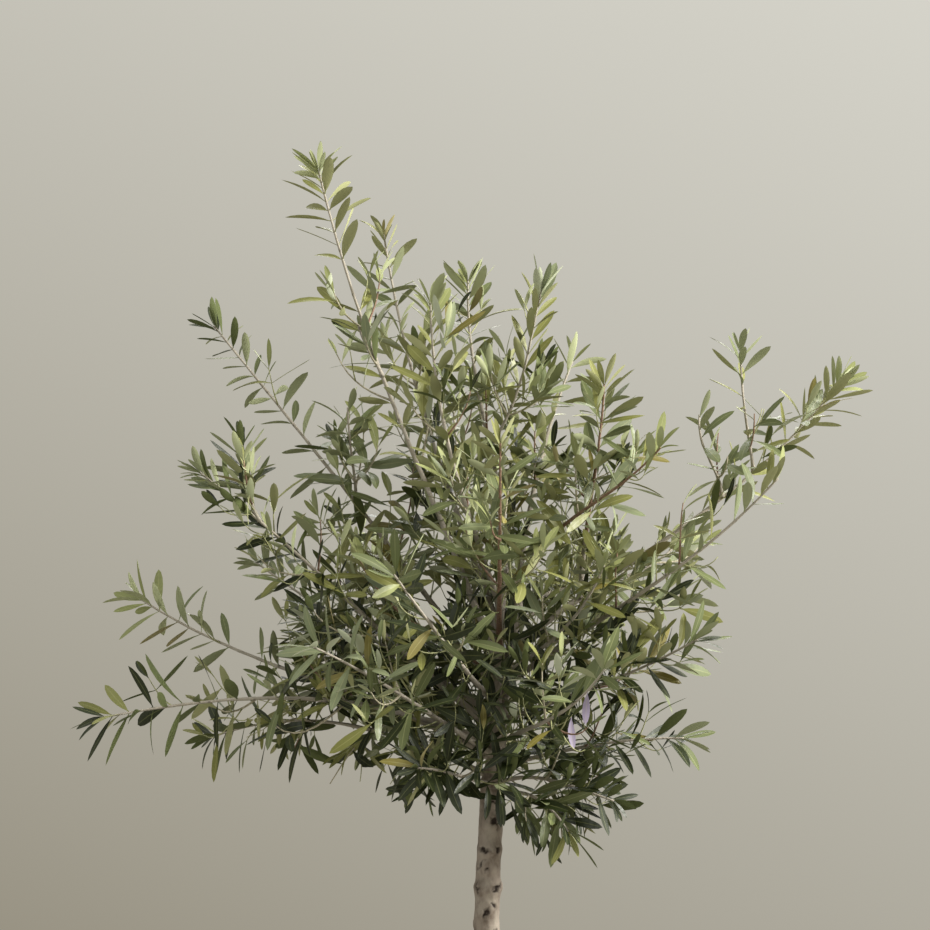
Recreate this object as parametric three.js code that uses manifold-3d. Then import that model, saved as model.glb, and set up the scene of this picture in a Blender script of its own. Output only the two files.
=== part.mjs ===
// Potted olive tree: a young standard olive with a clear stem and a loose crown, in a plain clay pot.
// Millimetres, +Z up, +X to the right and +Y to the back of the view that shows the tree best.
// The origin is the middle of the pot's flat underside.
import * as THREE from 'three';
import { mergeVertices } from 'three/addons/utils/BufferGeometryUtils.js';
import Module from 'manifold-3d';

// Driving dimensions of the pot and its filling
const POT_HEIGHT = 340;
const POT_FOOT_RADIUS = 132;
const POT_RIM_RADIUS = 190;
const POT_WALL = 14;
const POT_BASE = 18;
const RIM_HEIGHT = 40;
const RIM_STEP = 9;
const RIM_ROUND = 6;
const FOOT_CHAMFER = 4;
const RIM_CHAMFER = 3;
const RIM_EDGE = 10;
const POT_SEGMENTS = 32;
const DRAIN_RADIUS = 9;
const DRAIN_CIRCLE = 62;
const DRAIN_COUNT = 3;
const DRAIN_SEGMENTS = 12;
const SOIL_HEIGHT = 300;
const SOIL_FLAT_RADIUS = 60;
const SOIL_DISH = 7;
const SOIL_SHOULDER = 0.6;
const SOIL_SHRINKAGE = 1;
const GAP = 0.3;
const WELD = 0.02;

// Driving dimensions of the trunk, which is one tapering stem from the soil to its tip
const TRUNK_TOP = 1200;
const TRUNK_LEAN = 14;
const TRUNK_CURVE = 20;
const TRUNK_BOW = 8;
const TRUNK_FOOT_RADIUS = 19;
const TRUNK_FORK_RADIUS = 15.2;
const TRUNK_TOP_RADIUS = 5.2;
const TRUNK_CROWN_TAPER = 0.3;
const TRUNK_FORK_HEIGHT = 925;
const FLARE_RADIUS = 12;
const FLARE_HEIGHT = 34;
const FLARE_LOBES = 5;
const FLARE_LOBE_DEPTH = 0.16;
const TRUNK_SIDES = 12;
const TRUNK_STEPS = 17;
const TRUNK_STEP_CROWDING = 1.6;

// Driving dimensions of limbs, twigs and leaves
const LIMB_HANDLE = 0.38;
const LIMB_BASE_RADIUS = 5.2;
const LIMB_LEAST_RADIUS = 2.8;
const LIMB_RADIUS_PER_LENGTH = 0.0045;
const LIMB_TIP_RADIUS = 1.7;
const LIMB_TAPER = 0.8;
const DROOPING_PITCH = -15;
const LEADER_RADIUS = 10;
const BOUGH_SIDES = 5;
const BOUGH_STEPS = 4;
const STEM_SIDES = 3;
const STEM_STEPS = 5;
const TWIG_SIDES = 3;
const TWIG_STEPS = 2;
const TWIG_RADIUS = 3.3;
const TWIG_TIP_RADIUS = 2.5;
const TWIG_SPACING = 118;
const TWIG_ZONE = 0.7;
const TWIG_SPREAD = 50;
const TWIG_SHARE = 0.12;
const TWIG_ANGLE = 51.5;
const TWIG_LIFT = 0.45;
const TWIG_TIP_LIFT = 0.9;
const TWIG_TIP_WAY = 0.5;
const TWIG_TIP_FOLLOW = 0.3;
const FIRST_NODE = 0.3;
const NODE_TURN = 0.5;
const NODE_TURN_SPREAD = 0.4;
const TWIG_VIGOUR = [1.2, 0.7];
const TWIG_VARIETY = [0.8, 1.2];
const TWIG_PROBES = [0.35, 0.6, 0.8, 1];
const TWIG_BARE = 0.12;
const TWIG_SIZES = [1, 0.75, 0.55];
const SHORTEST_TWIG = 44;
const LEAF_SPACING = 66;
const LEAF_LENGTH = 84;
const LEAF_WIDTH = 31;
const LEAF_THICKNESS = 3.4;
const LEAF_WIDEST = 0.42;
const LEAF_ROLL = 130;
const LEAF_SIZES = [1, 0.82, 0.66];
const LEAF_VARIETY = [0.82, 1.12];
const LEAF_PROBES = [0.2, LEAF_WIDEST, 0.6, 0.8, 1];
const LAST_PAIR_SETBACK = 34;
const LEAF_ANGLE = 44;
const LEAF_ANGLE_AT_TIP = 26;
const LEAF_ROOT_DEPTH = 0.9;
const CLEARANCE = 2;
const LEAF_SLACK = 30;
const MARK_SPACING = 7;
const NEARLY_UPRIGHT = 0.2;

const CLAY = new THREE.MeshStandardMaterial({ color: 0xb4714e, roughness: 0.85, metalness: 0 });
const SOIL = new THREE.MeshStandardMaterial({ color: 0x3b2d22, roughness: 1, metalness: 0 });
const BARK = new THREE.MeshStandardMaterial({ color: 0x9c8f7d, roughness: 0.9, metalness: 0 });
const LEAF = new THREE.MeshStandardMaterial({ color: 0x6c7653, roughness: 0.6, metalness: 0 });

// The limbs. Each leaves the trunk at a height in millimetres, or another limb at a share of its length.
// Its tip has an azimuth in degrees from +X towards +Y, a reach from the origin's axis and a height.
// rise and finish are its pitch in degrees where it leaves and at its tip, and bare is the share of it
// that is a bough without leaves. A bough carries its own mass, a stem's mass starts at the trunk, and
// a shoot is part of the mass of the limb that it leaves.
const LIMBS = [
  // name, from, at, azimuth, reach, height, rise, finish, bare, kind
  ['right_leader', 'trunk', 908, 38, 168, 1494, 78, 62, 0.62, 'bough'],
  ['low_left', 'trunk', 968, 190, 498, 1011, 24, -10, 0.32, 'bough'],
  ['low_left_back', 'trunk', 924, 168, 374, 974, 25, -20, 0.35, 'bough'],
  ['left_reach', 'trunk', 950, 172, 468, 1164, 30, 32, 0.3, 'bough'],
  ['front_left', 'trunk', 956, 228, 310, 1107, 25, 20, 0.42, 'bough'],
  ['low_front_left', 'trunk', 915, 243, 172, 950, 10, 5, 0.25, 'stem'],
  ['hanging', 'trunk', 903, 323, 147, 862, 15, -50, 0.3, 'stem'],
  ['low_right', 'trunk', 914, 340, 190, 900, 25, -15, 0.3, 'stem'],
  ['low_right_far', 'trunk', 938, 353, 276, 980, 14, 0, 0.35, 'bough'],
  ['right_low', 'right_leader', 0.14, 346, 298, 1113, 22, 30, 0.32, 'bough'],
  ['far_right', 'right_leader', 0.3, 8, 503, 1458, 38, 50, 0.28, 'bough'],
  ['far_right_spire', 'far_right', 0.72, 358, 354, 1500, 60, 88, 0, 'shoot'],
  ['far_right_spur', 'far_right', 0.62, 356, 298, 1412, 70, 104, 0, 'shoot'],
  ['far_right_lower', 'right_leader', 0.22, 343, 408, 1323, 36, 46, 0.32, 'bough'],
  ['right_back', 'right_leader', 0.4, 30, 330, 1245, 25, 45, 0.32, 'bough'],
  ['right_rise', 'right_leader', 0.46, 329, 275, 1362, 55, 40, 0.32, 'bough'],
  ['upright_right', 'far_right', 0.19, 338, 180, 1450, 80, 80, 0.3, 'bough'],
  ['leader', 'trunk', 1200, 114, 33, 1600, 92, 92, 0.04, 'tip'],
  ['right_peak', 'leader', 0.42, 335, 93, 1578, 50, 75, 0, 'shoot'],
  ['high_left_mid', 'trunk', 1150, 240, 126, 1554, 62, 88, 0.25, 'bough'],
  ['high_left', 'trunk', 1122, 149, 152, 1668, 68, 80, 0.32, 'bough'],
  ['top_left', 'trunk', 1075, 198, 223, 1734, 69, 76, 0.35, 'bough'],
  ['top_left_shoot', 'top_left', 0.6, 200, 170, 1530, 65, 75, 0, 'shoot'],
  ['upper_left', 'trunk', 1038, 165, 380, 1543, 54, 50, 0.3, 'bough'],
  ['upper_left_shoot', 'upper_left', 0.5, 186, 176, 1422, 75, 84, 0, 'shoot'],
  ['left_mid', 'trunk', 988, 198, 382, 1331, 38, 37, 0.3, 'bough'],
  ['left_mid_shoot', 'left_mid', 0.82, 198, 326, 1372, 60, 85, 0, 'shoot'],
  ['left_back', 'trunk', 1006, 160, 329, 1215, 33, 35, 0.32, 'bough'],
  ['front', 'trunk', 1022, 250, 308, 1198, 25, 30, 0.32, 'bough'],
  ['front_right', 'trunk', 966, 302, 295, 1080, 20, 38, 0.32, 'bough'],
  ['front_high', 'trunk', 1098, 277, 222, 1364, 45, 65, 0.25, 'stem'],
  ['back_left', 'trunk', 1048, 122, 330, 1250, 35, 45, 0.32, 'bough'],
  ['back', 'trunk', 996, 84, 335, 1165, 30, 35, 0.32, 'bough'],
  ['back_right', 'right_leader', 0.34, 55, 320, 1240, 30, 50, 0.32, 'bough'],
  ['back_high', 'trunk', 1085, 98, 250, 1440, 50, 72, 0.25, 'stem'],
  ['back_low', 'trunk', 936, 77, 250, 965, 20, -10, 0.3, 'stem'],
  ['back_low_left', 'trunk', 976, 132, 285, 1040, 25, 10, 0.32, 'stem'],
  ['inner_left', 'trunk', 1064, 207, 175, 1215, 30, 60, 0.25, 'stem'],
  ['inner_right', 'trunk', 1056, 330, 190, 1210, 30, 65, 0.25, 'stem'],
];

const UP = new THREE.Vector3(0, 0, 1);
const RADIANS = Math.PI / 180;

const wasm = await Module();
wasm.setup();

// Boolean cuts and joins

function toSolid(geometry) {
  const bare = geometry.clone();
  bare.deleteAttribute('normal');
  bare.deleteAttribute('uv');
  const merged = mergeVertices(bare, 1e-5);
  return new wasm.Manifold(new wasm.Mesh({
    numProp: 3,
    vertProperties: new Float32Array(merged.attributes.position.array),
    triVerts: new Uint32Array(merged.index.array),
    tolerance: WELD,
  }));
}

function toGeometry(solid) {
  const mesh = solid.getMesh();
  const geometry = new THREE.BufferGeometry();
  geometry.setAttribute('position', new THREE.BufferAttribute(mesh.vertProperties, 3));
  geometry.setIndex(new THREE.BufferAttribute(mesh.triVerts, 1));
  geometry.computeVertexNormals();
  return geometry;
}

// The largest connected body of a solid: loose scraps go, and a pocket sealed by joining is filled.
function mainBody(solid) {
  const bodies = solid.decompose();
  return bodies.reduce((best, body) => (body.volume() > best.volume() ? body : best));
}

// Seeded variation: a fraction between 0 and 1 that depends only on its three whole numbers.
function noise(limb, item, channel) {
  const wave = Math.sin(limb * 12.9898 + item * 78.233 + channel * 37.719) * 43758.5453;
  return wave - Math.floor(wave);
}

function mix(from, to, share) {
  return from + (to - from) * share;
}

// Trunk

function trunkPoint(height) {
  const share = (height - SOIL_HEIGHT) / (TRUNK_TOP - SOIL_HEIGHT);
  const x = TRUNK_LEAN * share + TRUNK_CURVE * share * share;
  return new THREE.Vector3(x, TRUNK_BOW * Math.sin(Math.PI * share), height);
}

function trunkRadius(height) {
  if (height > TRUNK_FORK_HEIGHT) {
    const above = (height - TRUNK_FORK_HEIGHT) / (TRUNK_TOP - TRUNK_FORK_HEIGHT);
    return mix(TRUNK_FORK_RADIUS, TRUNK_TOP_RADIUS, above ** TRUNK_CROWN_TAPER);
  }
  const below = (height - SOIL_HEIGHT) / (TRUNK_FORK_HEIGHT - SOIL_HEIGHT);
  const flare = FLARE_RADIUS * Math.exp(-(height - SOIL_HEIGHT) / FLARE_HEIGHT);
  return mix(TRUNK_FOOT_RADIUS, TRUNK_FORK_RADIUS, below) + flare;
}

// A round section carried along a path: a capped cylinder whose rings are moved onto the path's
// points, squared to its direction there without twisting, and scaled to the radius there.
function sweep(pointAt, tangentAt, radiusAt, sides, steps, lobes = () => 1) {
  const start = tangentAt(0);
  const rings = [];
  let normal = Math.abs(start.x) < 0.8 ? new THREE.Vector3(1, 0, 0) : new THREE.Vector3(0, 1, 0);
  for (let step = 0; step <= steps; step += 1) {
    const tangent = tangentAt(step / steps);
    normal = normal.clone().addScaledVector(tangent, -normal.dot(tangent)).normalize();
    rings.push({ centre: pointAt(step / steps), normal, binormal: normal.clone().cross(tangent) });
  }
  const geometry = new THREE.CylinderGeometry(1, 1, 1, sides, steps);
  const position = geometry.attributes.position;
  for (let index = 0; index < position.count; index += 1) {
    const step = Math.round((position.getY(index) + 0.5) * steps);
    const { centre, normal: across, binormal } = rings[step];
    const angle = Math.atan2(position.getZ(index), position.getX(index));
    const radius = radiusAt(step / steps) * lobes(step / steps, angle);
    const point = centre.clone()
      .addScaledVector(across, position.getX(index) * radius)
      .addScaledVector(binormal, position.getZ(index) * radius);
    position.setXYZ(index, point.x, point.y, point.z);
  }
  return geometry;
}

// The trunk grown by a margin, for cutting what meets it; its rings crowd towards the flared foot.
function trunkGeometry(margin) {
  const foot = SOIL_HEIGHT + GAP - margin;
  const heightAt = (share) => mix(foot, TRUNK_TOP + margin, share ** TRUNK_STEP_CROWDING);
  return sweep(
    (share) => trunkPoint(heightAt(share)),
    () => UP,
    (share) => trunkRadius(heightAt(share)) + margin,
    TRUNK_SIDES,
    TRUNK_STEPS,
    (share, angle) => {
      const fade = Math.exp(-(heightAt(share) - SOIL_HEIGHT) / FLARE_HEIGHT);
      return 1 + FLARE_LOBE_DEPTH * fade * Math.cos(FLARE_LOBES * angle);
    },
  );
}

// Pot and soil, turned about the upright axis

function turned(profile, segments) {
  const points = profile.map(([radius, height]) => new THREE.Vector2(radius, height));
  const geometry = new THREE.LatheGeometry(points, segments);
  geometry.rotateX(Math.PI / 2);
  return geometry;
}

function potOuterRadius(height) {
  return mix(POT_FOOT_RADIUS, POT_RIM_RADIUS - RIM_STEP, height / POT_HEIGHT);
}

function makePot() {
  const rimFoot = POT_HEIGHT - RIM_HEIGHT;
  const inside = POT_RIM_RADIUS - RIM_STEP - POT_WALL;
  const profile = [
    [0, 0],
    [POT_FOOT_RADIUS - FOOT_CHAMFER, 0],
    [potOuterRadius(FOOT_CHAMFER), FOOT_CHAMFER],
    [potOuterRadius(rimFoot), rimFoot],
    [POT_RIM_RADIUS - RIM_CHAMFER, rimFoot + RIM_CHAMFER],
    [POT_RIM_RADIUS, rimFoot + RIM_EDGE],
    [POT_RIM_RADIUS, POT_HEIGHT - RIM_ROUND],
    [POT_RIM_RADIUS - RIM_ROUND, POT_HEIGHT],
    [inside + RIM_ROUND, POT_HEIGHT],
    [inside, POT_HEIGHT - RIM_ROUND],
    [potOuterRadius(POT_BASE) - POT_WALL, POT_BASE],
    [0, POT_BASE],
  ];
  let pot = toSolid(turned(profile, POT_SEGMENTS));
  for (let hole = 0; hole < DRAIN_COUNT; hole += 1) {
    const angle = (2 * Math.PI * hole) / DRAIN_COUNT;
    const drill = new THREE.CylinderGeometry(DRAIN_RADIUS, DRAIN_RADIUS, 3 * POT_BASE, DRAIN_SEGMENTS);
    drill.rotateX(Math.PI / 2);
    drill.translate(DRAIN_CIRCLE * Math.cos(angle), DRAIN_CIRCLE * Math.sin(angle), 0);
    pot = pot.subtract(toSolid(drill));
  }
  return toGeometry(pot);
}

function makeSoil() {
  const wallAt = (height) => {
    const rimInside = POT_RIM_RADIUS - RIM_STEP - POT_WALL;
    const baseInside = potOuterRadius(POT_BASE) - POT_WALL;
    const share = (height - POT_BASE) / (POT_HEIGHT - RIM_ROUND - POT_BASE);
    return mix(baseInside, rimInside, share) - SOIL_SHRINKAGE;
  };
  const edge = SOIL_HEIGHT - SOIL_DISH;
  return turned([
    [0, POT_BASE + GAP],
    [wallAt(POT_BASE + GAP), POT_BASE + GAP],
    [wallAt(edge), edge],
    [mix(SOIL_FLAT_RADIUS, wallAt(edge), SOIL_SHOULDER), SOIL_HEIGHT - SOIL_DISH / 3],
    [SOIL_FLAT_RADIUS, SOIL_HEIGHT],
    [0, SOIL_HEIGHT],
  ], POT_SEGMENTS);
}

// Limbs

function heading(azimuth, pitch) {
  return new THREE.Vector3(
    Math.cos(azimuth) * Math.cos(pitch),
    Math.sin(azimuth) * Math.cos(pitch),
    Math.sin(pitch),
  );
}

// The point at a share of a curve's length on the straight-sided solid that follows it from first.
function onFacets(curve, first, steps, at) {
  const place = ((at - first) / (1 - first)) * steps;
  const ring = Math.min(Math.floor(place), steps - 1);
  const before = curve.getPoint(mix(first, 1, ring / steps));
  const after = curve.getPoint(mix(first, 1, (ring + 1) / steps));
  return before.lerp(after, place - ring);
}

function onStem(limb, at) {
  return onFacets(limb.curve, limb.stemFrom, STEM_STEPS, at);
}

// A limb's path is one curve from where it leaves to its tip, with its pitch given at both ends.
function plotLimb(row, number, plotted) {
  const [name, from, at, azimuth, reach, height, rise, finish, bare, kind] = row;
  const parent = plotted.get(from);
  let start = from === 'trunk' ? trunkPoint(at) : parent.curve.getPoint(at);
  if (kind === 'shoot') {
    start = onStem(parent, at);
  }
  const tip = heading(azimuth * RADIANS, 0).multiplyScalar(reach).setZ(height);
  const way = tip.clone().sub(start);
  const length = way.length();
  const bearing = Math.atan2(way.y, way.x);
  const leave = heading(bearing, rise * RADIANS).multiplyScalar(length * LIMB_HANDLE);
  const arrive = heading(bearing, finish * RADIANS).multiplyScalar(length * LIMB_HANDLE);
  const curve = new THREE.CubicBezierCurve3(start, start.clone().add(leave), tip.clone().sub(arrive), tip);
  let baseRadius = Math.min(LIMB_BASE_RADIUS, LIMB_LEAST_RADIUS + length * LIMB_RADIUS_PER_LENGTH);
  if (name === 'right_leader') {
    baseRadius = LEADER_RADIUS;
  }
  if (kind === 'tip') {
    baseRadius = TRUNK_TOP_RADIUS;
  }
  if (kind === 'shoot') {
    baseRadius = TWIG_RADIUS;
  }
  const owner = kind === 'shoot' ? from : name;
  const stemFrom = kind === 'bough' ? bare : 0;
  const droops = finish < DROOPING_PITCH;
  return { name, owner, bare, stemFrom, kind, number, curve, length, baseRadius, droops };
}

function limbRadius(limb, share) {
  return mix(limb.baseRadius, LIMB_TIP_RADIUS, share ** LIMB_TAPER);
}

function stretch(limb, first, last, margin, sides, steps) {
  const shareAt = (share) => mix(first, last, share);
  return sweep(
    (share) => limb.curve.getPoint(shareAt(share)),
    (share) => limb.curve.getTangent(shareAt(share)),
    (share) => limbRadius(limb, shareAt(share)) + margin,
    sides,
    steps,
  );
}

// A limb's base is cut to lie on the wood that stands already, which is given grown by the gap.
function cutBy(body, wood) {
  return mainBody(wood.reduce((rest, standing) => rest.subtract(standing), body));
}

// The bough's far end is cut square, half of the gap short of where its mass begins.
function makeBough(limb, wood) {
  const shy = GAP / 2 / limb.length;
  const body = toSolid(stretch(limb, 0, limb.bare - shy, 0, BOUGH_SIDES, BOUGH_STEPS));
  const bough = cutBy(body, wood);
  wood.push(toSolid(stretch(limb, 0, limb.bare - shy, GAP, BOUGH_SIDES, BOUGH_STEPS)));
  return toGeometry(bough);
}

// Keeping to its own space: balls along all wood and leaves, with the mass that they belong to

function woodMarks(owner, curve, length, radiusAt) {
  const count = Math.ceil(length / MARK_SPACING);
  return Array.from({ length: count + 1 }, (_, index) => {
    const share = index / count;
    return { owner, wood: true, point: curve.getPoint(share), radius: radiusAt(share) };
  });
}

function surveyWood(limbs) {
  const marks = [];
  for (let height = SOIL_HEIGHT; height <= TRUNK_TOP; height += MARK_SPACING) {
    marks.push({ owner: 'trunk', wood: true, point: trunkPoint(height), radius: trunkRadius(height) });
  }
  for (const limb of limbs) {
    const stem = woodMarks(limb.owner, limb.curve, limb.length, (share) => limbRadius(limb, share));
    const boughEnd = limb.kind === 'bough' ? Math.round(limb.bare * stem.length) : 0;
    const boughMarks = stem.slice(0, boughEnd).map((mark) => ({ ...mark, owner: `${limb.name} bough` }));
    marks.push(...boughMarks, ...stem.slice(boughEnd));
  }
  return marks;
}

// A ball is free for a mass when it is clear of all that belongs to others, and when no other wood is
// nearer to it than the mass's own by more than the slack.
function isFree(point, radius, owner, marks, slack) {
  let own = Infinity;
  let other = Infinity;
  for (const mark of marks) {
    const distance = point.distanceTo(mark.point);
    if (mark.owner === owner) {
      own = mark.wood ? Math.min(own, distance) : own;
    } else {
      if (distance < mark.radius + radius + CLEARANCE) {
        return false;
      }
      other = mark.wood ? Math.min(other, distance) : other;
    }
  }
  return own < other + slack;
}

// Twigs and leaves

// Two crossing directions square to a shoot's direction: level with the ground, and above the shoot.
function crossDirections(along) {
  const level = new THREE.Vector3().crossVectors(along, UP);
  if (level.length() < NEARLY_UPRIGHT) {
    level.set(1, 0, 0).addScaledVector(along, -along.x);
  }
  level.normalize();
  return { level, above: new THREE.Vector3().crossVectors(level, along).normalize() };
}

// The outward direction of one of a pair: pairs turn by a quarter from node to node.
function outward(along, turn, side) {
  const { level, above } = crossDirections(along);
  return level.multiplyScalar(Math.cos(turn) * side).addScaledVector(above, Math.sin(turn) * side);
}

function leafAt(root, along, out, angle, number, item) {
  const size = mix(...LEAF_VARIETY, noise(number, item, 5));
  return {
    root: root.clone(),
    way: along.clone().multiplyScalar(Math.cos(angle)).addScaledVector(out, Math.sin(angle)).normalize(),
    face: along.clone(),
    roll: (noise(number, item, 6) - 0.5) * LEAF_ROLL * RADIANS,
    length: LEAF_LENGTH * size,
    width: LEAF_WIDTH * size,
  };
}

// The directions of a blade: along it, across it, and out of its upper face.
function leafBasis(leaf) {
  const face = leaf.face.clone().addScaledVector(leaf.way, -leaf.face.dot(leaf.way)).normalize();
  face.applyAxisAngle(leaf.way, leaf.roll);
  return { along: leaf.way, across: new THREE.Vector3().crossVectors(face, leaf.way), face };
}

// The blade is a flat diamond with a keel under its midrib, pointed at both ends and widest below its
// middle: a three-sided spindle whose ring of corners lies at the widest place.
function leafGeometry(leaf) {
  const { along, across, face } = leafBasis(leaf);
  const place = (share, aside, up) => leaf.root.clone()
    .addScaledVector(along, share * (leaf.length + LEAF_ROOT_DEPTH) - LEAF_ROOT_DEPTH)
    .addScaledVector(across, (aside * leaf.width) / 2)
    .addScaledVector(face, up * LEAF_THICKNESS);
  const corners = [
    place(0, 0, 0),
    place(LEAF_WIDEST, -1, 0),
    place(LEAF_WIDEST, 1, 0),
    place(LEAF_WIDEST, 0, -1),
    place(1, 0, 0),
  ];
  const geometry = new THREE.BufferGeometry().setFromPoints(corners);
  geometry.setIndex([0, 1, 2, 0, 2, 3, 0, 3, 1, 4, 2, 1, 4, 3, 2, 4, 1, 3]);
  return geometry;
}

function leafMarks(leaf, owner) {
  return LEAF_PROBES.map((share) => {
    const fullness = share < LEAF_WIDEST ? share / LEAF_WIDEST : (1 - share) / (1 - LEAF_WIDEST);
    const point = leaf.root.clone().addScaledVector(leaf.way, share * leaf.length);
    return { owner, wood: false, point, radius: (fullness * leaf.width) / 2 };
  });
}

// The largest of a leaf's sizes that keeps to the mass's space, or none. Its balls join the marks.
function fittingLeaf(leaf, owner, marks) {
  const fitting = LEAF_SIZES
    .map((size) => ({ ...leaf, length: leaf.length * size, width: leaf.width * size }))
    .find((sized) => leafMarks(sized, owner).every(({ point, radius }) => (
      isFree(point, radius, owner, marks, LEAF_SLACK)
    )));
  if (fitting) {
    marks.push(...leafMarks(fitting, owner));
  }
  return fitting;
}

// A twig leaves its stem at a wide angle and bends up towards the light, or down on a drooping limb.
function twigCurve(start, along, out, length, droops) {
  const leave = along.clone().multiplyScalar(Math.cos(TWIG_ANGLE * RADIANS))
    .addScaledVector(out, Math.sin(TWIG_ANGLE * RADIANS));
  const up = droops ? -1 : 1;
  const reach = leave.clone().addScaledVector(UP, up * TWIG_LIFT).normalize();
  const arrive = leave.clone().multiplyScalar(TWIG_TIP_WAY).addScaledVector(along, TWIG_TIP_FOLLOW)
    .addScaledVector(UP, up * TWIG_TIP_LIFT).normalize();
  const tip = start.clone().addScaledVector(reach, length);
  return new THREE.CubicBezierCurve3(
    start,
    start.clone().addScaledVector(leave, length * LIMB_HANDLE),
    tip.clone().addScaledVector(arrive, -length * LIMB_HANDLE),
    tip,
  );
}

// Pairs of leaves along a twig or the end of a stem, closing in towards the tip.
function leafPairs(curve, rootAt, first, length, number, item) {
  const leaves = [];
  const pairs = Math.max(1, Math.round((length * (1 - first)) / LEAF_SPACING));
  for (let pair = 0; pair < pairs; pair += 1) {
    const share = (pair + 1) / pairs;
    const at = mix(first, 1 - LAST_PAIR_SETBACK / length, share);
    const along = curve.getTangent(at);
    const angle = mix(LEAF_ANGLE, LEAF_ANGLE_AT_TIP, share ** 2) * RADIANS;
    const turn = (noise(number, item, 3) + NODE_TURN * pair) * Math.PI;
    for (const side of [-1, 1]) {
      const out = outward(along, turn, side);
      leaves.push(leafAt(rootAt(at), along, out, angle, number, item * 31 + pair * 2 + side));
    }
  }
  return leaves;
}

function twigRadius(share) {
  return mix(TWIG_RADIUS, TWIG_TIP_RADIUS, share);
}

function twigGeometry({ curve }) {
  return sweep(
    (share) => curve.getPoint(share),
    (share) => curve.getTangent(share),
    twigRadius,
    TWIG_SIDES,
    TWIG_STEPS,
  );
}

function twigIsFree(curve, owner, marks) {
  return TWIG_PROBES.every((share) => isFree(curve.getPoint(share), TWIG_RADIUS, owner, marks, 0));
}

// The twigs of one stem: opposite pairs at even nodes over the lower part of its leafy stretch, longest
// at the first nodes. Each is the longest of its lengths that keeps to the mass's space, or is skipped.
function growTwigs(limb, marks) {
  const twigs = [];
  const leafy = limb.length * (1 - limb.bare);
  const nodes = Math.max(1, Math.round((leafy * TWIG_ZONE) / TWIG_SPACING));
  for (let node = 0; node < nodes; node += 1) {
    const share = (node + FIRST_NODE) / nodes;
    const at = mix(limb.bare, 1, share * TWIG_ZONE);
    const start = onStem(limb, at);
    const along = limb.curve.getTangent(at);
    const turn = (noise(limb.number, node, 1) * NODE_TURN_SPREAD + NODE_TURN * node) * Math.PI;
    for (const side of [-1, 1]) {
      const item = node * 2 + (side + 1) / 2;
      const vigour = mix(...TWIG_VIGOUR, share) * mix(...TWIG_VARIETY, noise(limb.number, item, 2));
      const wanted = (TWIG_SPREAD + leafy * TWIG_SHARE) * vigour;
      const out = outward(along, turn, side);
      const twig = TWIG_SIZES.map((size) => size * wanted)
        .filter((length) => length > SHORTEST_TWIG)
        .map((length) => ({ item, length, curve: twigCurve(start, along, out, length, limb.droops) }))
        .find(({ curve }) => twigIsFree(curve, limb.owner, marks));
      if (twig) {
        twigs.push(twig);
      }
    }
  }
  return twigs;
}

function growLeaves(limb, twigs, marks) {
  const leafFrom = mix(limb.bare, 1, TWIG_ZONE);
  const pairs = leafPairs(limb.curve, (at) => onStem(limb, at), leafFrom, limb.length, limb.number, 3);
  for (const { curve, length, item } of twigs) {
    const onTwig = (at) => onFacets(curve, 0, TWIG_STEPS, at);
    pairs.push(...leafPairs(curve, onTwig, TWIG_BARE, length, limb.number, item + 7));
  }
  return pairs.map((leaf) => fittingLeaf(leaf, limb.owner, marks)).filter(Boolean);
}

function makeMass(limb, shoots, wood, growth) {
  const first = limb.kind === 'bough' ? limb.bare + GAP / 2 / limb.length : 0;
  const pieces = [stretch(limb, first, 1, 0, STEM_SIDES, STEM_STEPS)];
  pieces.push(...shoots.map((shoot) => stretch(shoot, 0, 1, 0, TWIG_SIDES, STEM_STEPS)));
  for (const { name } of [limb, ...shoots]) {
    const { twigs, leaves } = growth.get(name);
    pieces.push(...twigs.map(twigGeometry), ...leaves.map(leafGeometry));
  }
  const mass = wasm.Manifold.union(pieces.map(toSolid));
  return toGeometry(limb.kind === 'bough' ? mainBody(mass) : cutBy(mass, wood));
}

// All twigs are grown before the leaves, so that the leaves keep clear of every twig but their own.
function growCrown(limbs) {
  const marks = surveyWood(limbs);
  const growth = new Map();
  for (const limb of limbs) {
    growth.set(limb.name, { twigs: growTwigs(limb, marks) });
  }
  for (const limb of limbs) {
    for (const { curve, length } of growth.get(limb.name).twigs) {
      marks.push(...woodMarks(limb.owner, curve, length, twigRadius));
    }
  }
  for (const limb of limbs) {
    const { twigs } = growth.get(limb.name);
    growth.set(limb.name, { twigs, leaves: growLeaves(limb, twigs, marks) });
  }
  return growth;
}

// The whole plant

const plotted = new Map();
LIMBS.forEach((row, number) => plotted.set(row[0], plotLimb(row, number + 1, plotted)));
const limbs = [...plotted.values()];
const growth = growCrown(limbs);
const wood = [toSolid(trunkGeometry(GAP))];

const tree = new THREE.Group();

function addPart(name, geometry, material) {
  const mesh = new THREE.Mesh(geometry, material);
  mesh.name = name;
  tree.add(mesh);
}

addPart('pot', makePot(), CLAY);
addPart('soil', makeSoil(), SOIL);
addPart('trunk', toGeometry(toSolid(trunkGeometry(0))), BARK);
for (const limb of limbs.filter(({ kind }) => kind === 'bough')) {
  addPart(`${limb.name}_bough`, makeBough(limb, wood), BARK);
}
for (const limb of limbs.filter(({ kind }) => kind !== 'shoot')) {
  const shoots = limbs.filter(({ kind, owner }) => kind === 'shoot' && owner === limb.name);
  addPart(`${limb.name}_foliage`, makeMass(limb, shoots, wood, growth), LEAF);
}

export default tree;
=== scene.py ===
"""Potted olive tree: bark, twigs, leaves, clay pot and soil, worked out as surfaces over arrays.

Sizes are metres, +Z is up and +X is to the right of the view that shows the tree best. Limbs, twigs
and leaves follow the growth rule of the part's solids and carry it on to finer twigs.
"""

import math
from functools import partial
from typing import NamedTuple

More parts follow.
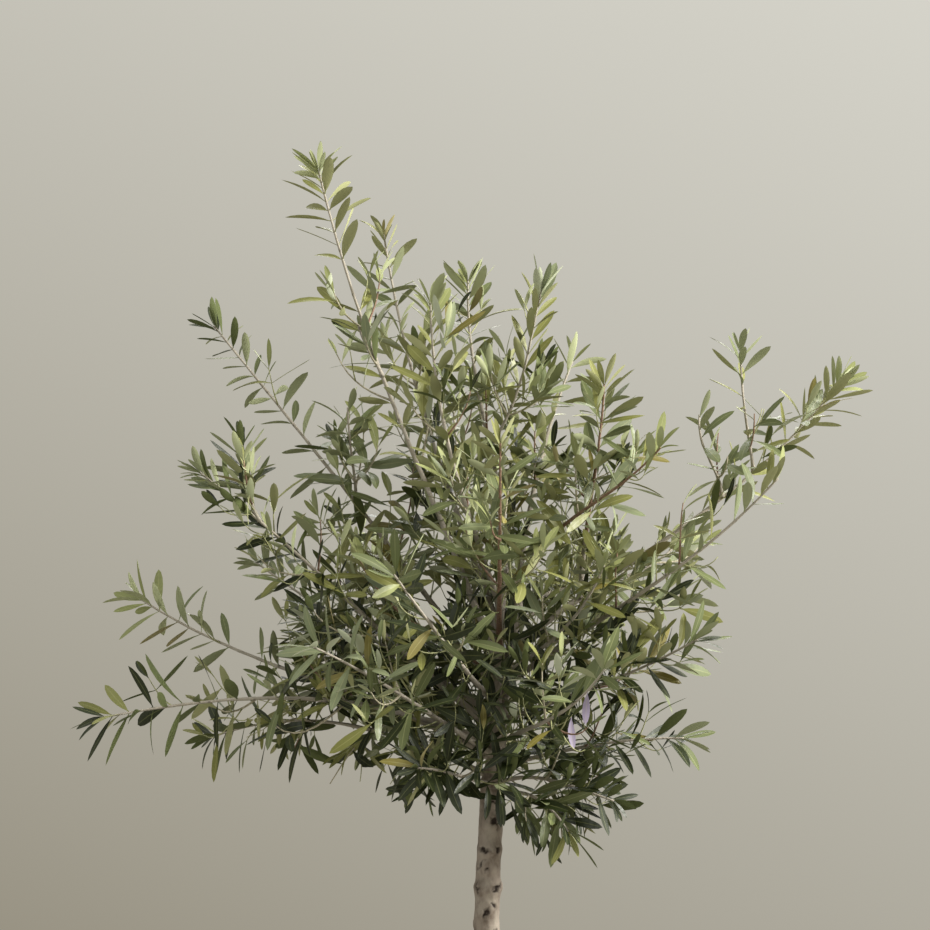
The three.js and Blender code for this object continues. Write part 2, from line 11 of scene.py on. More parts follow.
import bpy
import numpy as np
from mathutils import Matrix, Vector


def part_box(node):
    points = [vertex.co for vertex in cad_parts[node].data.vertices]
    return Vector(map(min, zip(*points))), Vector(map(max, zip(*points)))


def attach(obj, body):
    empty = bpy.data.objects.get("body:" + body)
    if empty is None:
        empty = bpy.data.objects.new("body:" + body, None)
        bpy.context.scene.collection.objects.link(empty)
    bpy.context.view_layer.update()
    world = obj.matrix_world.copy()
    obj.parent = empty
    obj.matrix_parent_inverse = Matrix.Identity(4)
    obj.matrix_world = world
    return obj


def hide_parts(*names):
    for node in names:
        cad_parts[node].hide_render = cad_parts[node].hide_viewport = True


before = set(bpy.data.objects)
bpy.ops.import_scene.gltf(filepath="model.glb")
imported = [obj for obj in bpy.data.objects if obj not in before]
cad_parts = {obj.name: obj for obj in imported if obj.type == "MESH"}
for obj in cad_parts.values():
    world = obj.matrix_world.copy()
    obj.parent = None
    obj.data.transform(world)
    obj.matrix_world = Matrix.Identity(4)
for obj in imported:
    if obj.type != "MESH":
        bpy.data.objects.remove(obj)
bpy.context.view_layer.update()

bl_info = {
    "name": "Potted Olive Tree",
    "version": (1, 0, 0),
    "blender": (4, 5, 0),
    "location": "3D View > Sidebar > Olive Tree",
    "description": "Dresses a young standard olive in a clay pot with bark, twigs, leaves and soil",
    "category": "Add Mesh",
}

MM = 0.001
RADIANS = math.pi / 180
TINY = 1e-12
UP = np.array([0.0, 0.0, 1.0])
EAST = np.array([1.0, 0.0, 0.0])
NORTH = np.array([0.0, 1.0, 0.0])

# The pot, as its solid has it, and the fine shape of its edges and of its throwing lines
POT_HIGH = np.array(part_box("pot")[1])
POT_HEIGHT = POT_HIGH[2]
POT_RIM_RADIUS = POT_HIGH[0]
POT_FOOT_RADIUS = 132 * MM
POT_WALL = 14 * MM
POT_BASE = 18 * MM
POT_SIDES = 144
POT_POINT_GAP = 3.2 * MM
FOOT_CORNER = 5 * MM
FOOT_BEVEL = 1.5 * MM
FOOT_BEVEL_HEIGHT = 1.2 * MM
RIM_HEIGHT = 40 * MM
RIM_STEP = 9 * MM
RIM_CURL = 6 * MM
RIM_CURL_POINTS = 7
RIM_CREASE = 3 * MM
RIM_CREASE_STEP = 1.5 * MM
RIM_EDGE = [(3, 2), (0.8, 5), (0, 10)]  # in from the rim and up from its foot, in millimetres
INSIDE_CORNER = 8 * MM
INSIDE_STEP = 2 * MM
DRAIN_RADIUS = 9 * MM
DRAIN_CIRCLE = 62 * MM
DRAIN_COUNT = 3
DRAIN_SIDES = 32
THROWING_GAP = 7.5 * MM
THROWING_WARP = 0.7
THROWING_LINES = 0.34 * MM
WOBBLE_GAP = 61 * MM
WOBBLE = 0.25 * MM
WALL_SWAY = 0.2 * MM
WALL_SWAY_CLIMB = 9
WALL_SET_BACK = 0.45 * MM
CALM_FOOT = 12 * MM
CALM_RIM = 8 * MM
CALM_MIDDLE = (0.8, 0.1)  # the share of the foot's radius where the waves begin, and over how much

# The soil and the bark chips on it
SOIL_HIGH = np.array(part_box("soil")[1])
SOIL_RADIUS = SOIL_HIGH[0]
SOIL_HEIGHT = SOIL_HIGH[2]
SOIL_RINGS = 90
SOIL_SIDES = 220
SOIL_MIDDLE = 0.01
SOIL_INSET = 0.6 * MM
SOIL_FLAT_RADIUS = 60 * MM
SOIL_FALL = 7 * MM
SOIL_FALL_POWER = 1.3
SOIL_EDGE_DEPTH = 7.6 * MM
SOIL_EDGE_GAP = 0.2 * MM
SOIL_FOOT_GAP = 9 * MM
SOIL_FOOT_SHARE = 0.6
SOIL_CORNER = (6 * MM, 14 * MM)
SOIL_HIGHEST = 4 * MM
CRUMBS = 14
CRUMB_SEED = 5
CRUMB_RANGE = (-420, 420)
CRUMB_HEIGHT = 0.42 * MM
CRUMB_EDGE = 6 * MM
CHIPS = 420
CHIP_SEED = 23
CHIP_CLEAR = 42 * MM
CHIP_EDGE_GAP = 60 * MM
CHIP_SIZES = [(4, 13), (3, 7), (1.2, 3)]  # length, width and thickness, in millimetres
CHIP_LIFT = 1.4 * MM
CHIP_TILT = 0.22
CHIP_ROLL = 0.2
CHIP_CORNERS = (0.72, 1.15)

# The trunk, which is one tapering stem from the soil to its tip
TRUNK_TOP = 1200 * MM
TRUNK_LEAN = 14 * MM
TRUNK_CURVE = 20 * MM
TRUNK_BOW = 8 * MM
TRUNK_FOOT_RADIUS = 19 * MM
TRUNK_FORK_RADIUS = 15.2 * MM
TRUNK_TOP_RADIUS = 5.2 * MM
TRUNK_CROWN_TAPER = 0.3
TRUNK_FORK_HEIGHT = 925 * MM
TRUNK_RINGS = 420
TRUNK_SIDES = 72
TRUNK_RING_POWER = 1.05
TRUNK_SUNK = 4 * MM
TRUNK_PAST_TOP = 2 * MM
TRUNK_THIN_FROM = 0.95
TRUNK_THIN_OVER = 0.3
FLARE_RADIUS = 12 * MM
FLARE_HEIGHT = 34 * MM
FLARE_LOBES = 5
FLARE_LOBE_DEPTH = 0.16

# Relief of the trunk's bark: swellings, level wrinkles and a fine grain. A wave climbs by so much a
# metre and makes whole turns round the trunk.
SWELLING_TURNS = np.array([1, 2, 3, 2, 4, 3, 5, 2, 1])
SWELLING_CLIMB = (18, 60)
SWELLING_SEED = 11
SWELLING_EASE = 2.2
SWELLINGS = 0.5
WARP_WAVES = [(1.4, 23, 2, 0), (0.8, 61, -3, 1.3)]  # size, climb, turns and phase
WRINKLES = 0.3
WRINKLE_CLIMB = 175
WRINKLE_POWER = 6
WRINKLE_PATCHES = (19, 2)
GRAIN = 0.12
GRAIN_WAVES = [(310, 5, 0), (190, -7, 2.1)]  # climb, turns and phase
CALM_LENGTH = 250 * MM
CALM_LEAST = 0.3

# Shape of the scars and knots. Lengths without a unit are counted in the scar's own size, the slant
# is in radians, and the bends climb by so much a metre.
SCAR_SIZE = 1.35
SCAR_SLANT = (-0.9, 1.5)
SCAR_BEND = 0.3
SCAR_BEND_UP = 640
SCAR_BEND_ASIDE = 760
SCAR_ACROSS = 0.5
SCAR_ALONG = (0.6, 1.5)
SCAR_DEPTH = 3 * MM
SCAR_DARKNESS = 0.9
KNOT_ACROSS = 2.8
KNOT_UP = 1.6
KNOT_DROP = 0.3
KNOT_HEIGHT = (1.8, 4.2)  # in millimetres
LIP_PLACE = 1.6
LIP_SHARPNESS = 4
LIP_HEIGHT = 0.8 * MM

# Limbs
LIMB_HANDLE = 0.38
LIMB_BASE_RADIUS = 5.2 * MM
LIMB_LEAST_RADIUS = 2.8 * MM
LIMB_RADIUS_PER_LENGTH = 0.0045
LIMB_TIP_RADIUS = 1.25 * MM
LIMB_TAPER = 0.65
LEADER_RADIUS = 10 * MM
SHOOT_RADIUS = 2.4 * MM
# Limbs, by name or by kind, whose radius doesn't follow their length
SPECIAL_RADII = {"right_leader": LEADER_RADIUS, "tip": TRUNK_TOP_RADIUS, "shoot": SHOOT_RADIUS}
DROOPING_PITCH = -15
LEAST_RINGS = 6
LEADER_SIDES = 28
BOUGH_SIDES = 16
BOUGH_RING_GAP = 2.6 * MM
END_SIDES = 10
END_RING_GAP = 4 * MM
END_OVERLAP = 0.01
COLLAR = 0.5
COLLAR_LENGTH = 9 * MM
KNUCKLE_GAP = 31 * MM
KNUCKLE_POWER = 14
KNUCKLE = 0.16
KNUCKLE_DARKNESS = 0.55
LIMB_WAVES = 6
LIMB_WAVE_TURNS = 4
LIMB_WAVE_CLIMB = (40, 160)
LIMB_RELIEF = 0.14
LIMB_THINNESS = 1.25

# Twigs and side shoots. A limb's stem has order 0, a twig order 1 and a side shoot order 2.
TWIG_ZONE = 0.7
TWIG_ANGLE = 51.5 * RADIANS
TWIG_LIFT = 0.45
TWIG_TIP_LIFT = 0.9
TWIG_TIP_WAY = 0.5
TWIG_TIP_FOLLOW = 0.3
TWIG_BARE = 0.12
TWIG_VIGOUR = (1.2, 0.7)
TWIG_VARIETY = (0.8, 1.2)
TWIG_RADII = {1: (1.7 * MM, 0.8 * MM), 2: (1.1 * MM, 0.55 * MM)}  # at foot and tip, by order
TWIG_RINGS = 8
TWIG_SIDES = 6
SIDE_SHOOT_SIDES = 5
FIRST_NODE = 0.3
NODE_TURN = 0.5
NODE_TURN_SPREAD = 0.4
NEARLY_UPRIGHT = 0.2
ON_TWIGS = (0.12, 0.8)
ON_STEMS_TO = 0.9
ON_BOUGHS_FROM = 0.08
ON_TRUNK_FROM = 0.02
BOUGHS_FROM = 0.1
TRUNK_NUMBER = 90
TRUNK_PATH_POINTS = 4

# The heart of the crown, where side shoots crowd, and its low dusk, the shaded part where the darkest leaves
# stand as painted shade
HEART = np.array([10, -10, 1030]) * MM
HEART_REACH = np.array([260, 250, 200]) * MM
DUSK = np.array([40, -10, 965]) * MM
DUSK_REACH = np.array([180, 230, 125]) * MM
SHELTER_END = 1.75

# Leaves. Shares run from 0 at a shoot's or a leaf's foot to 1 at its tip.
LEAF_ANGLE = 60 * RADIANS
LEAF_ANGLE_AT_TIP = 21 * RADIANS
LEAF_ANGLE_SPREAD = 34 * RADIANS
LEAF_SPREAD_END = 1.3
LEAF_CLOSING_POWER = 4
LEAF_TURN_SPREAD = 0.12
LEAF_SAG = (0.02, 0.2)
LEAF_SAG_FADE = 0.7
LEAF_ROLL = 100 * RADIANS
FACE_TO_TIP = 0.7
FACE_UPWARDS = 0.55
LEAF_SIZE = (0.78, 1.2)
LEAF_SIZE_AT_TIP = 0.62
LEAF_SIZE_POWER = 6
LEAF_BREADTH = (0.85, 1.18)
LEAF_BEND = (-0.1, 0.55)
LEAF_FOLD = (-0.1, 0.28)
LEAF_SWAY = 0.7
LEAF_TWIST = 0.9
LEAF_ROOT_DEPTH = 0.6 * MM
LEAF_CLEARANCE = 4 * MM
LEAF_PROBES = (0.45, 0.72, 1.0)
GUARD_TRUNK_POINTS = 180
GUARD_LIMB_POINTS = 26
GUARD_LEAST_SHARE = 0.3
LAST_NODE_GAP = 2 * MM
CROWD_AT = 0.75
CROWDED_PAIRS = 0.6
TUFT_PAIRS = np.array([4, 1, 0])
NODE_CLOSING = np.array([1.75, 1.5, 1.35])
RIB_SHARE = 0.07
STATIONS = np.array([0.04, 0.1, 0.22, 0.4, 0.58, 0.76, 0.91])
PETIOLE_END = 0.07
PETIOLE_WIDTH = 0.13
BLADE_WIDEST = 0.57
BLADE_BLUNTNESS = 0.68
LEAF_RING = 5
LEAF_RIMS = (0, 3)

# Kinds of leaves. The first three are dealt by shoot, up to one share in the open and another in the
# dusk, and the rest of the full-grown leaves are silver. Darker kinds take more of the dusk, as painted
# shade. Young leaves stand near the tips, fewer of them in the dusk and low in the crown, which keeps
# pale leaves out of the painted shade.
KINDS = ["deep", "grey_green", "olive", "silver", "young", "old", "faded"]
KIND_SHARES = {"deep": (0.2, 0.93), "grey_green": (0.46, 0.97), "olive": (0.86, 0.985)}
OLD_FROM = 0.98
YOUNG_FROM = 0.72
YOUNG_DRAW_FROM = (0.28, 0.93)
YOUNG_BY_SHOOT = 0.8
YOUNG_BY_LEAF = 0.2
# painted shade: below this height pale young leaves grow fewer, over the fade
LIGHT_HEIGHT = 1250 * MM
LIGHT_FADE = 150 * MM
STEM_KIND_SHARE = 0.85

# The limbs. Each leaves the trunk at a height in millimetres, or another limb at a share of its length.
# Its tip has an azimuth in degrees from +X towards +Y, a reach from the origin's axis and a height.
# rise and finish are its pitch in degrees where it leaves and at its tip, and bare is the share of it
# that is a bough without leaves.
LIMBS = [
    # name, from, at, azimuth, reach, height, rise, finish, bare, kind
    ("right_leader", "trunk", 908, 38, 168, 1494, 78, 62, 0.62, "bough"),
    ("low_left", "trunk", 968, 190, 498, 1011, 24, -10, 0.32, "bough"),
    ("low_left_back", "trunk", 924, 168, 374, 974, 25, -20, 0.35, "bough"),
    ("left_reach", "trunk", 950, 172, 468, 1164, 30, 32, 0.3, "bough"),
    ("front_left", "trunk", 956, 228, 310, 1107, 25, 20, 0.42, "bough"),
    ("low_front_left", "trunk", 915, 243, 172, 950, 10, 5, 0.25, "stem"),
    ("hanging", "trunk", 903, 323, 147, 862, 15, -50, 0.3, "stem"),
    ("low_right", "trunk", 914, 340, 190, 900, 25, -15, 0.3, "stem"),
    ("low_right_far", "trunk", 938, 353, 276, 980, 14, 0, 0.35, "bough"),
    ("right_low", "right_leader", 0.14, 346, 298, 1113, 22, 30, 0.32, "bough"),
    ("far_right", "right_leader", 0.3, 8, 503, 1458, 38, 50, 0.28, "bough"),
    ("far_right_spire", "far_right", 0.72, 358, 354, 1500, 60, 88, 0, "shoot"),
    ("far_right_spur", "far_right", 0.62, 356, 298, 1412, 70, 104, 0, "shoot"),
    ("far_right_lower", "right_leader", 0.22, 343, 408, 1323, 36, 46, 0.32, "bough"),
    ("right_back", "right_leader", 0.4, 30, 330, 1245, 25, 45, 0.32, "bough"),
    ("right_rise", "right_leader", 0.46, 329, 275, 1362, 55, 40, 0.32, "bough"),
    ("upright_right", "far_right", 0.19, 338, 180, 1450, 80, 80, 0.3, "bough"),
    ("leader", "trunk", 1200, 114, 33, 1600, 92, 92, 0.04, "tip"),
    ("right_peak", "leader", 0.42, 335, 93, 1578, 50, 75, 0, "shoot"),
    ("high_left_mid", "trunk", 1150, 240, 126, 1554, 62, 88, 0.25, "bough"),
    ("high_left", "trunk", 1122, 149, 152, 1668, 68, 80, 0.32, "bough"),
    ("top_left", "trunk", 1075, 198, 223, 1734, 69, 76, 0.35, "bough"),
    ("top_left_shoot", "top_left", 0.6, 200, 170, 1530, 65, 75, 0, "shoot"),
    ("upper_left", "trunk", 1038, 165, 380, 1543, 54, 50, 0.3, "bough"),
    ("upper_left_shoot", "upper_left", 0.5, 186, 176, 1422, 75, 84, 0, "shoot"),
    ("left_mid", "trunk", 988, 198, 382, 1331, 38, 37, 0.3, "bough"),
    ("left_mid_shoot", "left_mid", 0.82, 198, 326, 1372, 60, 85, 0, "shoot"),
    ("left_back", "trunk", 1006, 160, 329, 1215, 33, 35, 0.32, "bough"),
    ("front", "trunk", 1022, 250, 308, 1198, 25, 30, 0.32, "bough"),
    ("front_right", "trunk", 966, 302, 295, 1080, 20, 38, 0.32, "bough"),
    ("front_high", "trunk", 1098, 277, 222, 1364, 45, 65, 0.25, "stem"),
    ("back_left", "trunk", 1048, 122, 330, 1250, 35, 45, 0.32, "bough"),
    ("back", "trunk", 996, 84, 335, 1165, 30, 35, 0.32, "bough"),
    ("back_right", "right_leader", 0.34, 55, 320, 1240, 30, 50, 0.32, "bough"),
    ("back_high", "trunk", 1085, 98, 250, 1440, 50, 72, 0.25, "stem"),
    ("back_low", "trunk", 936, 77, 250, 965, 20, -10, 0.3, "stem"),
    ("back_low_left", "trunk", 976, 132, 285, 1040, 25, 10, 0.32, "stem"),
    ("inner_left", "trunk", 1064, 207, 175, 1215, 30, 60, 0.25, "stem"),
    ("inner_right", "trunk", 1056, 330, 190, 1210, 30, 65, 0.25, "stem"),
]

# Pruning scars and knots on the trunk: height in millimetres, azimuth in degrees, width in millimetres.
SCARS = [
    (893, -78, 3.4), (880, -20, 3.6), (866, -72, 4.6), (829, -115, 4.0), (830, -53, 3.8), (803, -98, 3.2),
    (809, -129, 3.4), (779, -137, 4.0), (776, -59, 4.4), (782, -35, 3.6), (756, -61, 2.6),
    (746, -94, 4.2), (721, -44, 3.8), (690, -120, 3.4),
    (664, -80, 4.2), (628, -28, 3.4), (590, -105, 4.4), (541, -62, 3.6), (497, -128, 3.2), (452, -86, 4.0),
    (405, -40, 3.6), (853, 40, 4.2), (792, 96, 4.4), (731, 150, 3.8), (676, 64, 4.2), (605, 122, 3.6),
    (548, 30, 4.0), (480, 88, 4.4), (418, 160, 3.4),
]

# Limbs that stand out from the crown: how wide their leaves open and how large their stem's leaves
# are, as shares of the usual, and the kinds of most of the stem's leaves, along it and at its tip.
# The darkest kind here is painted shade, all through on the two low left limbs.
STEM_LEAVES = {
    # painted shade: the low left limbs' leaves all in the darkest kind
    "low_left": (1.25, 1.2, "deep", "deep"),
    "low_left_back": (1.2, 1.15, "deep", "deep"),
    "left_reach": (1.25, 1.2, "grey_green", "young"),
    "left_mid": (0.9, 0.88, "deep", "grey_green"),
    "left_mid_shoot": (0.8, 0.8, "grey_green", "deep"),
    "upper_left": (1.15, 1.0, "grey_green", "deep"),
    "top_left": (0.95, 1.0, "olive", "young"),
    "top_left_shoot": (0.62, 1.0, "grey_green", "olive"),
    "high_left": (0.9, 0.95, "grey_green", "olive"),
    "high_left_mid": (0.75, 0.95, "olive", "young"),
    "leader": (1.1, 0.95, "grey_green", "young"),
    "right_peak": (0.58, 0.95, "olive", "silver"),
    "upright_right": (0.9, 1.0, "grey_green", "olive"),
    "far_right": (0.75, 0.95, "olive", "young"),
    "far_right_spire": (0.85, 0.85, "olive", "grey_green"),
    "far_right_spur": (0.85, 0.95, "grey_green", "grey_green"),
    "far_right_lower": (0.9, 1.0, "grey_green", "olive"),
    "right_low": (1.0, 1.0, "olive", "grey_green"),
    "low_right_far": (0.9, 0.95, "deep", "grey_green"),
    "front": (1.0, 1.2, "deep", "grey_green"),
    "front_left": (1.1, 1.1, "silver", "silver"),
    "front_right": (0.95, 1.15, "grey_green", "grey_green"),
    "front_high": (1.0, 1.0, "grey_green", "olive"),
    "hanging": (1.0, 1.2, "grey_green", "olive"),
}
# Limbs that end in a dense tuft: how many more pairs of leaves they have, and how much each pair
# draws the nodes to the tip.
TUFT_CLOSING = 0.25
STEM_TUFTS = {"top_left": 4, "far_right": 3, "high_left_mid": 2, "leader": 1, "right_peak": 1}

# The photograph's view. One pixel of its 930 by 930 frame is PIXEL wide on the upright plane through
# the trunk, whose axis stands at AXIS_PIXEL. LEVEL_PIXEL is the row of the height LEVEL_HEIGHT.
IMAGE_SIZE = 930
PIXEL = 1.35 * MM
AXIS_PIXEL = 478
LEVEL_PIXEL = 780
LEVEL_HEIGHT = 920 * MM
VIEW_DISTANCE = 3400 * MM
VIEW_PITCH = 2.4 * RADIANS
AIM = np.array([
    (IMAGE_SIZE / 2 - AXIS_PIXEL) * PIXEL, 0, LEVEL_HEIGHT + (LEVEL_PIXEL - IMAGE_SIZE / 2) * PIXEL])

# The two faded leaves that hang in front, at their pixels in the photograph
FADED_PIXELS = [(587, 712), (571, 735)]
FADED_LENGTH = 42 * MM
FADED_WIDTH = 10 * MM
FADED_WAY = np.array([-0.1, -0.12, -1])
FADED_ROOM = np.array([13, 27]) * MM
FADED_DEPTH = 35 * MM
FADED_NEARNESS = 0.15
FADED_PROBES = (0.25, 0.5, 0.75, 1)

# Places in the crown that the photograph shows open right through, and others that it shows full.
# Each is an ellipse on the upright plane: middle across and up, half width and half height, in
# millimetres. A side shoot is checked for open places at SHOOT_PROBES of its length, and keeps
# SHOOT_CLEAR half sizes away there. A full place fades out over FULL_EDGE of its size.
WINDOWS = [
    (220, 1266, 26, 44), (258, 1318, 25, 40), (222, 1300, 28, 15), (286, 1400, 22, 54),
    (342, 1398, 20, 36), (394, 1446, 38, 28), (378, 1248, 52, 45), (372, 1180, 52, 52),
    (324, 1147, 18, 22), (338, 1237, 20, 25), (428, 1322, 35, 20), (-207, 1456, 34, 36),
    (-270, 1352, 24, 46), (-360, 1200, 50, 20), (-325, 1092, 36, 26), (-290, 1130, 20, 22),
    (-315, 1177, 22, 32), (-345, 1240, 36, 36), (-262, 1168, 20, 14), (-193, 981, 20, 24),
    (-258, 910, 32, 42), (-165, 892, 62, 34), (10, 866, 24, 30), (-65, 1156, 27, 32),
    (-180, 1606, 22, 27), (-164, 1540, 12, 24), (-85, 1534, 11, 19), (-126, 1365, 14, 12),
    (126, 1440, 12, 30), (122, 1471, 17, 24),
]
CLUSTERS = [
    (-13, 1534, 35, 45), (62, 1425, 42, 45), (186, 1402, 32, 38), (214, 1355, 40, 30),
    (-125, 1309, 34, 26), (-280, 1271, 48, 55), (-436, 1183, 25, 25), (262, 1110, 48, 38),
    (240, 1028, 42, 42), (-139, 960, 40, 25), (65, 918, 46, 28), (468, 1426, 45, 36),
    (150, 872, 34, 22), (-48, 915, 46, 20), (-205, 1714, 22, 30), (-222, 1118, 30, 30),
    (-40, 1515, 44, 32), (235, 1050, 24, 26), (400, 1392, 40, 30), (225, 1058, 30, 30),
]
SHOOT_PROBES = (0.55, 1.0)
SHOOT_CLEAR = (1, 0.8)
FULL_EDGE = 0.25

# Seeded draws. Each has its own channel, and shoots and leaves are numbered apart by the steps.
CHANCE_WEIGHTS = (12.9898, 78.233, 37.719)
CHANCE_SIZE = 43758.5453
(DRAW_TURN, DRAW_VIGOUR, DRAW_SHOOT_TURN, DRAW_KEPT, DRAW_SIZE, DRAW_ROLL, DRAW_SPREAD, DRAW_SWING, DRAW_SAG,
 DRAW_SHOOT_KIND, DRAW_KIND, DRAW_BREADTH, DRAW_BEND, DRAW_FOLD, DRAW_TWIST, DRAW_SWAY) = range(1, 17)
DRAW_BROWN = 21
SCAR_ITEM, SCAR_DRAWS = 1, (1, 2, 3)
STEM_ITEM = 3
TWIG_ITEM = 7
SHOOT_STEP = 17
SEED_STEP = 100
LEAF_STEP = 31

# Colours. A leaf has one for the upper blade and one for the underside, and its midrib lies between
# the upper blade's and straw. Wood has a main colour and a shade.
LEAF_COLOURS = {
    # painted shade: the darkest leaves, darkened to stand for the shaded inside of the crown
    "deep": ((0.125, 0.155, 0.035), (0.33, 0.36, 0.21)),
    "grey_green": ((0.365, 0.395, 0.24), (0.57, 0.59, 0.455)),
    "olive": ((0.45, 0.455, 0.235), (0.59, 0.595, 0.43)),
    "silver": ((0.47, 0.50, 0.37), (0.68, 0.70, 0.60)),
    "young": ((0.50, 0.52, 0.32), (0.63, 0.65, 0.50)),
    "old": ((0.455, 0.42, 0.19), (0.54, 0.51, 0.35)),
    "faded": ((0.56, 0.52, 0.60), (0.61, 0.575, 0.63)),
}
STRAW = (0.68, 0.67, 0.50)
RIB_PALENESS = 0.38
GREY_WOOD = (0.69, 0.66, 0.575), (0.57, 0.54, 0.45)
BROWN_WOOD = (0.55, 0.44, 0.365), (0.44, 0.355, 0.29)
GREEN_WOOD = (0.63, 0.635, 0.47), (0.53, 0.53, 0.37)
CHIP_COLOURS = (0.27, 0.18, 0.12), (0.47, 0.33, 0.22)
BROWN_ENDS = ("front_high", "upright_right", "inner_left", "right_rise")
BROWN_SHARE = 0.4
CLAY_SHADE = 0.72
FLOOR_SHADE = 0.94
DRY_SOIL = 2.1

# How a screen colour becomes linear light: a straight part up to the knee, and a power law above it
SCREEN_KNEE = 0.04045
SCREEN_SLOPE = 12.92
SCREEN_OFFSET = 0.055
SCREEN_POWER = 2.4

# The stage
FLOOR_SIDES = 128
FLOOR_DEPTH = 10 * MM
FLOOR_DROP = 0.2 * MM
SENSOR_WIDTH = 36
LAMP_TARGET = (0, 0, 1.15)
# The lamps: where each stands, how wide it is, and its colour
LAMPS = {
    "key_light": ((3.7, -1.0, 3.3), 1.8, (1.0, 0.985, 0.95)),
    "fill_light": ((-3.2, -2.4, 2.2), 2.6, (0.95, 0.98, 1.0)),
    "back_light": ((0.6, 3.4, 3.4), 2.4, (1.0, 0.99, 0.97)),
}
# The air's colour follows the direction's part along the slope, over the range
AIR_SLOPE = (0.62, 0, 1.32)
AIR_RANGE = (-0.4, 0.6)


# Settings

colours = partial(bpy.props.FloatVectorProperty, subtype="COLOR_GAMMA", min=0, max=1)
lengths = partial(bpy.props.FloatProperty, unit="LENGTH")
powers = partial(bpy.props.FloatProperty, unit="POWER")


class OliveStageSettings(bpy.types.PropertyGroup):
    backdrop: colours(
        name="Backdrop", description="Colour behind the tree", default=(0.888, 0.883, 0.848))
    low_backdrop: colours(
        name="Low backdrop", description="Colour of the air below and on the left",
        default=(0.55, 0.523, 0.455))
    floor: colours(name="Floor", description="Colour of the floor", default=(0.60, 0.59, 0.56))
    floor_radius: lengths(name="Floor radius", description="Radius of the round floor", default=2.6)
    camera_distance: lengths(
        name="Camera distance", description="From the camera to the trunk", default=VIEW_DISTANCE)
    camera_pitch: bpy.props.FloatProperty(
        name="Camera pitch", description="How far the camera looks up", default=VIEW_PITCH,
        subtype="ANGLE")
    key_power: powers(
        name="Key light", description="Power of the large light above on the right", default=480)
    fill_power: powers(
        name="Fill light", description="Power of the large light on the left", default=52)
    back_power: powers(
        name="Back light", description="Power of the large light behind the tree", default=90)


class OliveWoodSettings(bpy.types.PropertyGroup):
    bark: colours(
        name="Bark", description="Main colour of the trunk's bark", default=(0.53, 0.487, 0.44))
    bark_shade: colours(
        name="Bark shade", description="Darker patches of the bark", default=(0.365, 0.318, 0.275))
    young_bark: colours(
        name="Young bark", description="Colour of thin limbs", default=(0.66, 0.633, 0.578))
    scar: colours(
        name="Scar", description="Colour of knots and pruning scars", default=(0.17, 0.135, 0.11))
    relief: lengths(
        name="Relief", description="Depth of the bark's swellings and furrows", default=1.6 * MM)


class OliveLeafSettings(bpy.types.PropertyGroup):
    length: lengths(name="Leaf length", description="Length of a full-grown leaf", default=61 * MM)
    width: lengths(name="Leaf width", description="Width of a full-grown leaf", default=12.2 * MM)
    thickness: lengths(
        name="Leaf thickness", description="Thickness at the midrib", default=0.7 * MM)
    node_gap: lengths(
        name="Node gap", description="From one pair of leaves to the next", default=27 * MM)
    side_shoots: bpy.props.FloatProperty(
        name="Side shoots", description="Share of the places that carry a fine side shoot",
        default=0.57, min=0, max=1, subtype="FACTOR")


class OlivePotSettings(bpy.types.PropertyGroup):
    clay: colours(name="Clay", description="Fired clay of the pot", default=(0.645, 0.425, 0.325))
    bloom: colours(
        name="Bloom", description="Pale mineral bloom on the clay", default=(0.76, 0.66, 0.575))
    soil: colours(name="Soil", description="Damp potting soil", default=(0.21, 0.155, 0.115))


# Working with whole arrays

def mix(low, high, share):
    """The value that lies at a share of the way from low to high."""
    return low + (high - low) * share


def unit(vectors):
    """Each vector divided by its own length."""
    return vectors / np.maximum(np.linalg.norm(vectors, axis=-1, keepdims=True), TINY)


def square_to(way, vectors):
    """Unit directions square to a way: each vector with its part along the way taken off."""
    return unit(vectors - way * np.sum(vectors * way, axis=-1, keepdims=True))


def chance(number, item, draw):
    """Seeded variation: the fraction part of a large multiple of the sine of the weighted numbers."""
    by_number, by_item, by_draw = CHANCE_WEIGHTS
    wave = np.sin(number * by_number + item * by_item + draw * by_draw) * CHANCE_SIZE
    return wave - np.floor(wave)


def about(number, item, draw):
    """Seeded variation round 0, half a unit to each side."""
    return chance(number, item, draw) - 0.5


def heading(azimuth, pitch):
    """The direction whose level part points along the azimuth and which rises by the pitch."""
    return np.array([
        math.cos(azimuth) * math.cos(pitch), math.sin(azimuth) * math.cos(pitch), math.sin(pitch)])


def curve_point(curves, shares):
    """Points on cubic curves: the four control points weighted by the Bernstein terms of the share."""
    share = shares[..., None]
    rest = 1 - share
    start, leave, arrive, tip = (curves[..., None, corner, :] for corner in range(4))
    return (
        rest ** 3 * start + 3 * rest ** 2 * share * leave
        + 3 * rest * share ** 2 * arrive + share ** 3 * tip)


def curve_way(curves, shares):
    """Directions of cubic curves: the differences of the control points, weighted and made unit."""
    share = shares[..., None]
    rest = 1 - share
    first, second, third = (
        curves[..., None, corner + 1, :] - curves[..., None, corner, :] for corner in range(3))
    return unit(rest ** 2 * first + 2 * rest * share * second + share ** 2 * third)


def children(counts):
    """Numbers the children of each parent: every child's parent, and its place among its siblings."""
    parent = np.repeat(np.arange(len(counts)), counts)
    before = np.cumsum(counts) - counts
    return parent, np.arange(counts.sum()) - before[parent]


def picked(rows, chosen):
    """Only the chosen ones of shoots or leaves, which are kept as a tuple of arrays."""
    return type(rows)(*(column[chosen] for column in rows))


def waves(count, seed, *ranges):
    """Seeded sets of wave numbers, one column for each range, and a phase between 0 and a turn."""
    draw = np.random.default_rng(seed)
    columns = [draw.uniform(low, high, count) for low, high in ranges]
    return (*columns, draw.uniform(0, 2 * math.pi, count))


def round_angles(sides):
    """Angles at even steps round a turn."""
    return np.arange(sides) * 2 * math.pi / sides


def polar(radius, angle, height):
    """Points at a height whose level parts are the radius times the angle's cosine and sine."""
    radius, angle, height = np.broadcast_arrays(radius, angle, height)
    return np.stack([radius * np.cos(angle), radius * np.sin(angle), height], axis=-1)


# Surfaces into meshes

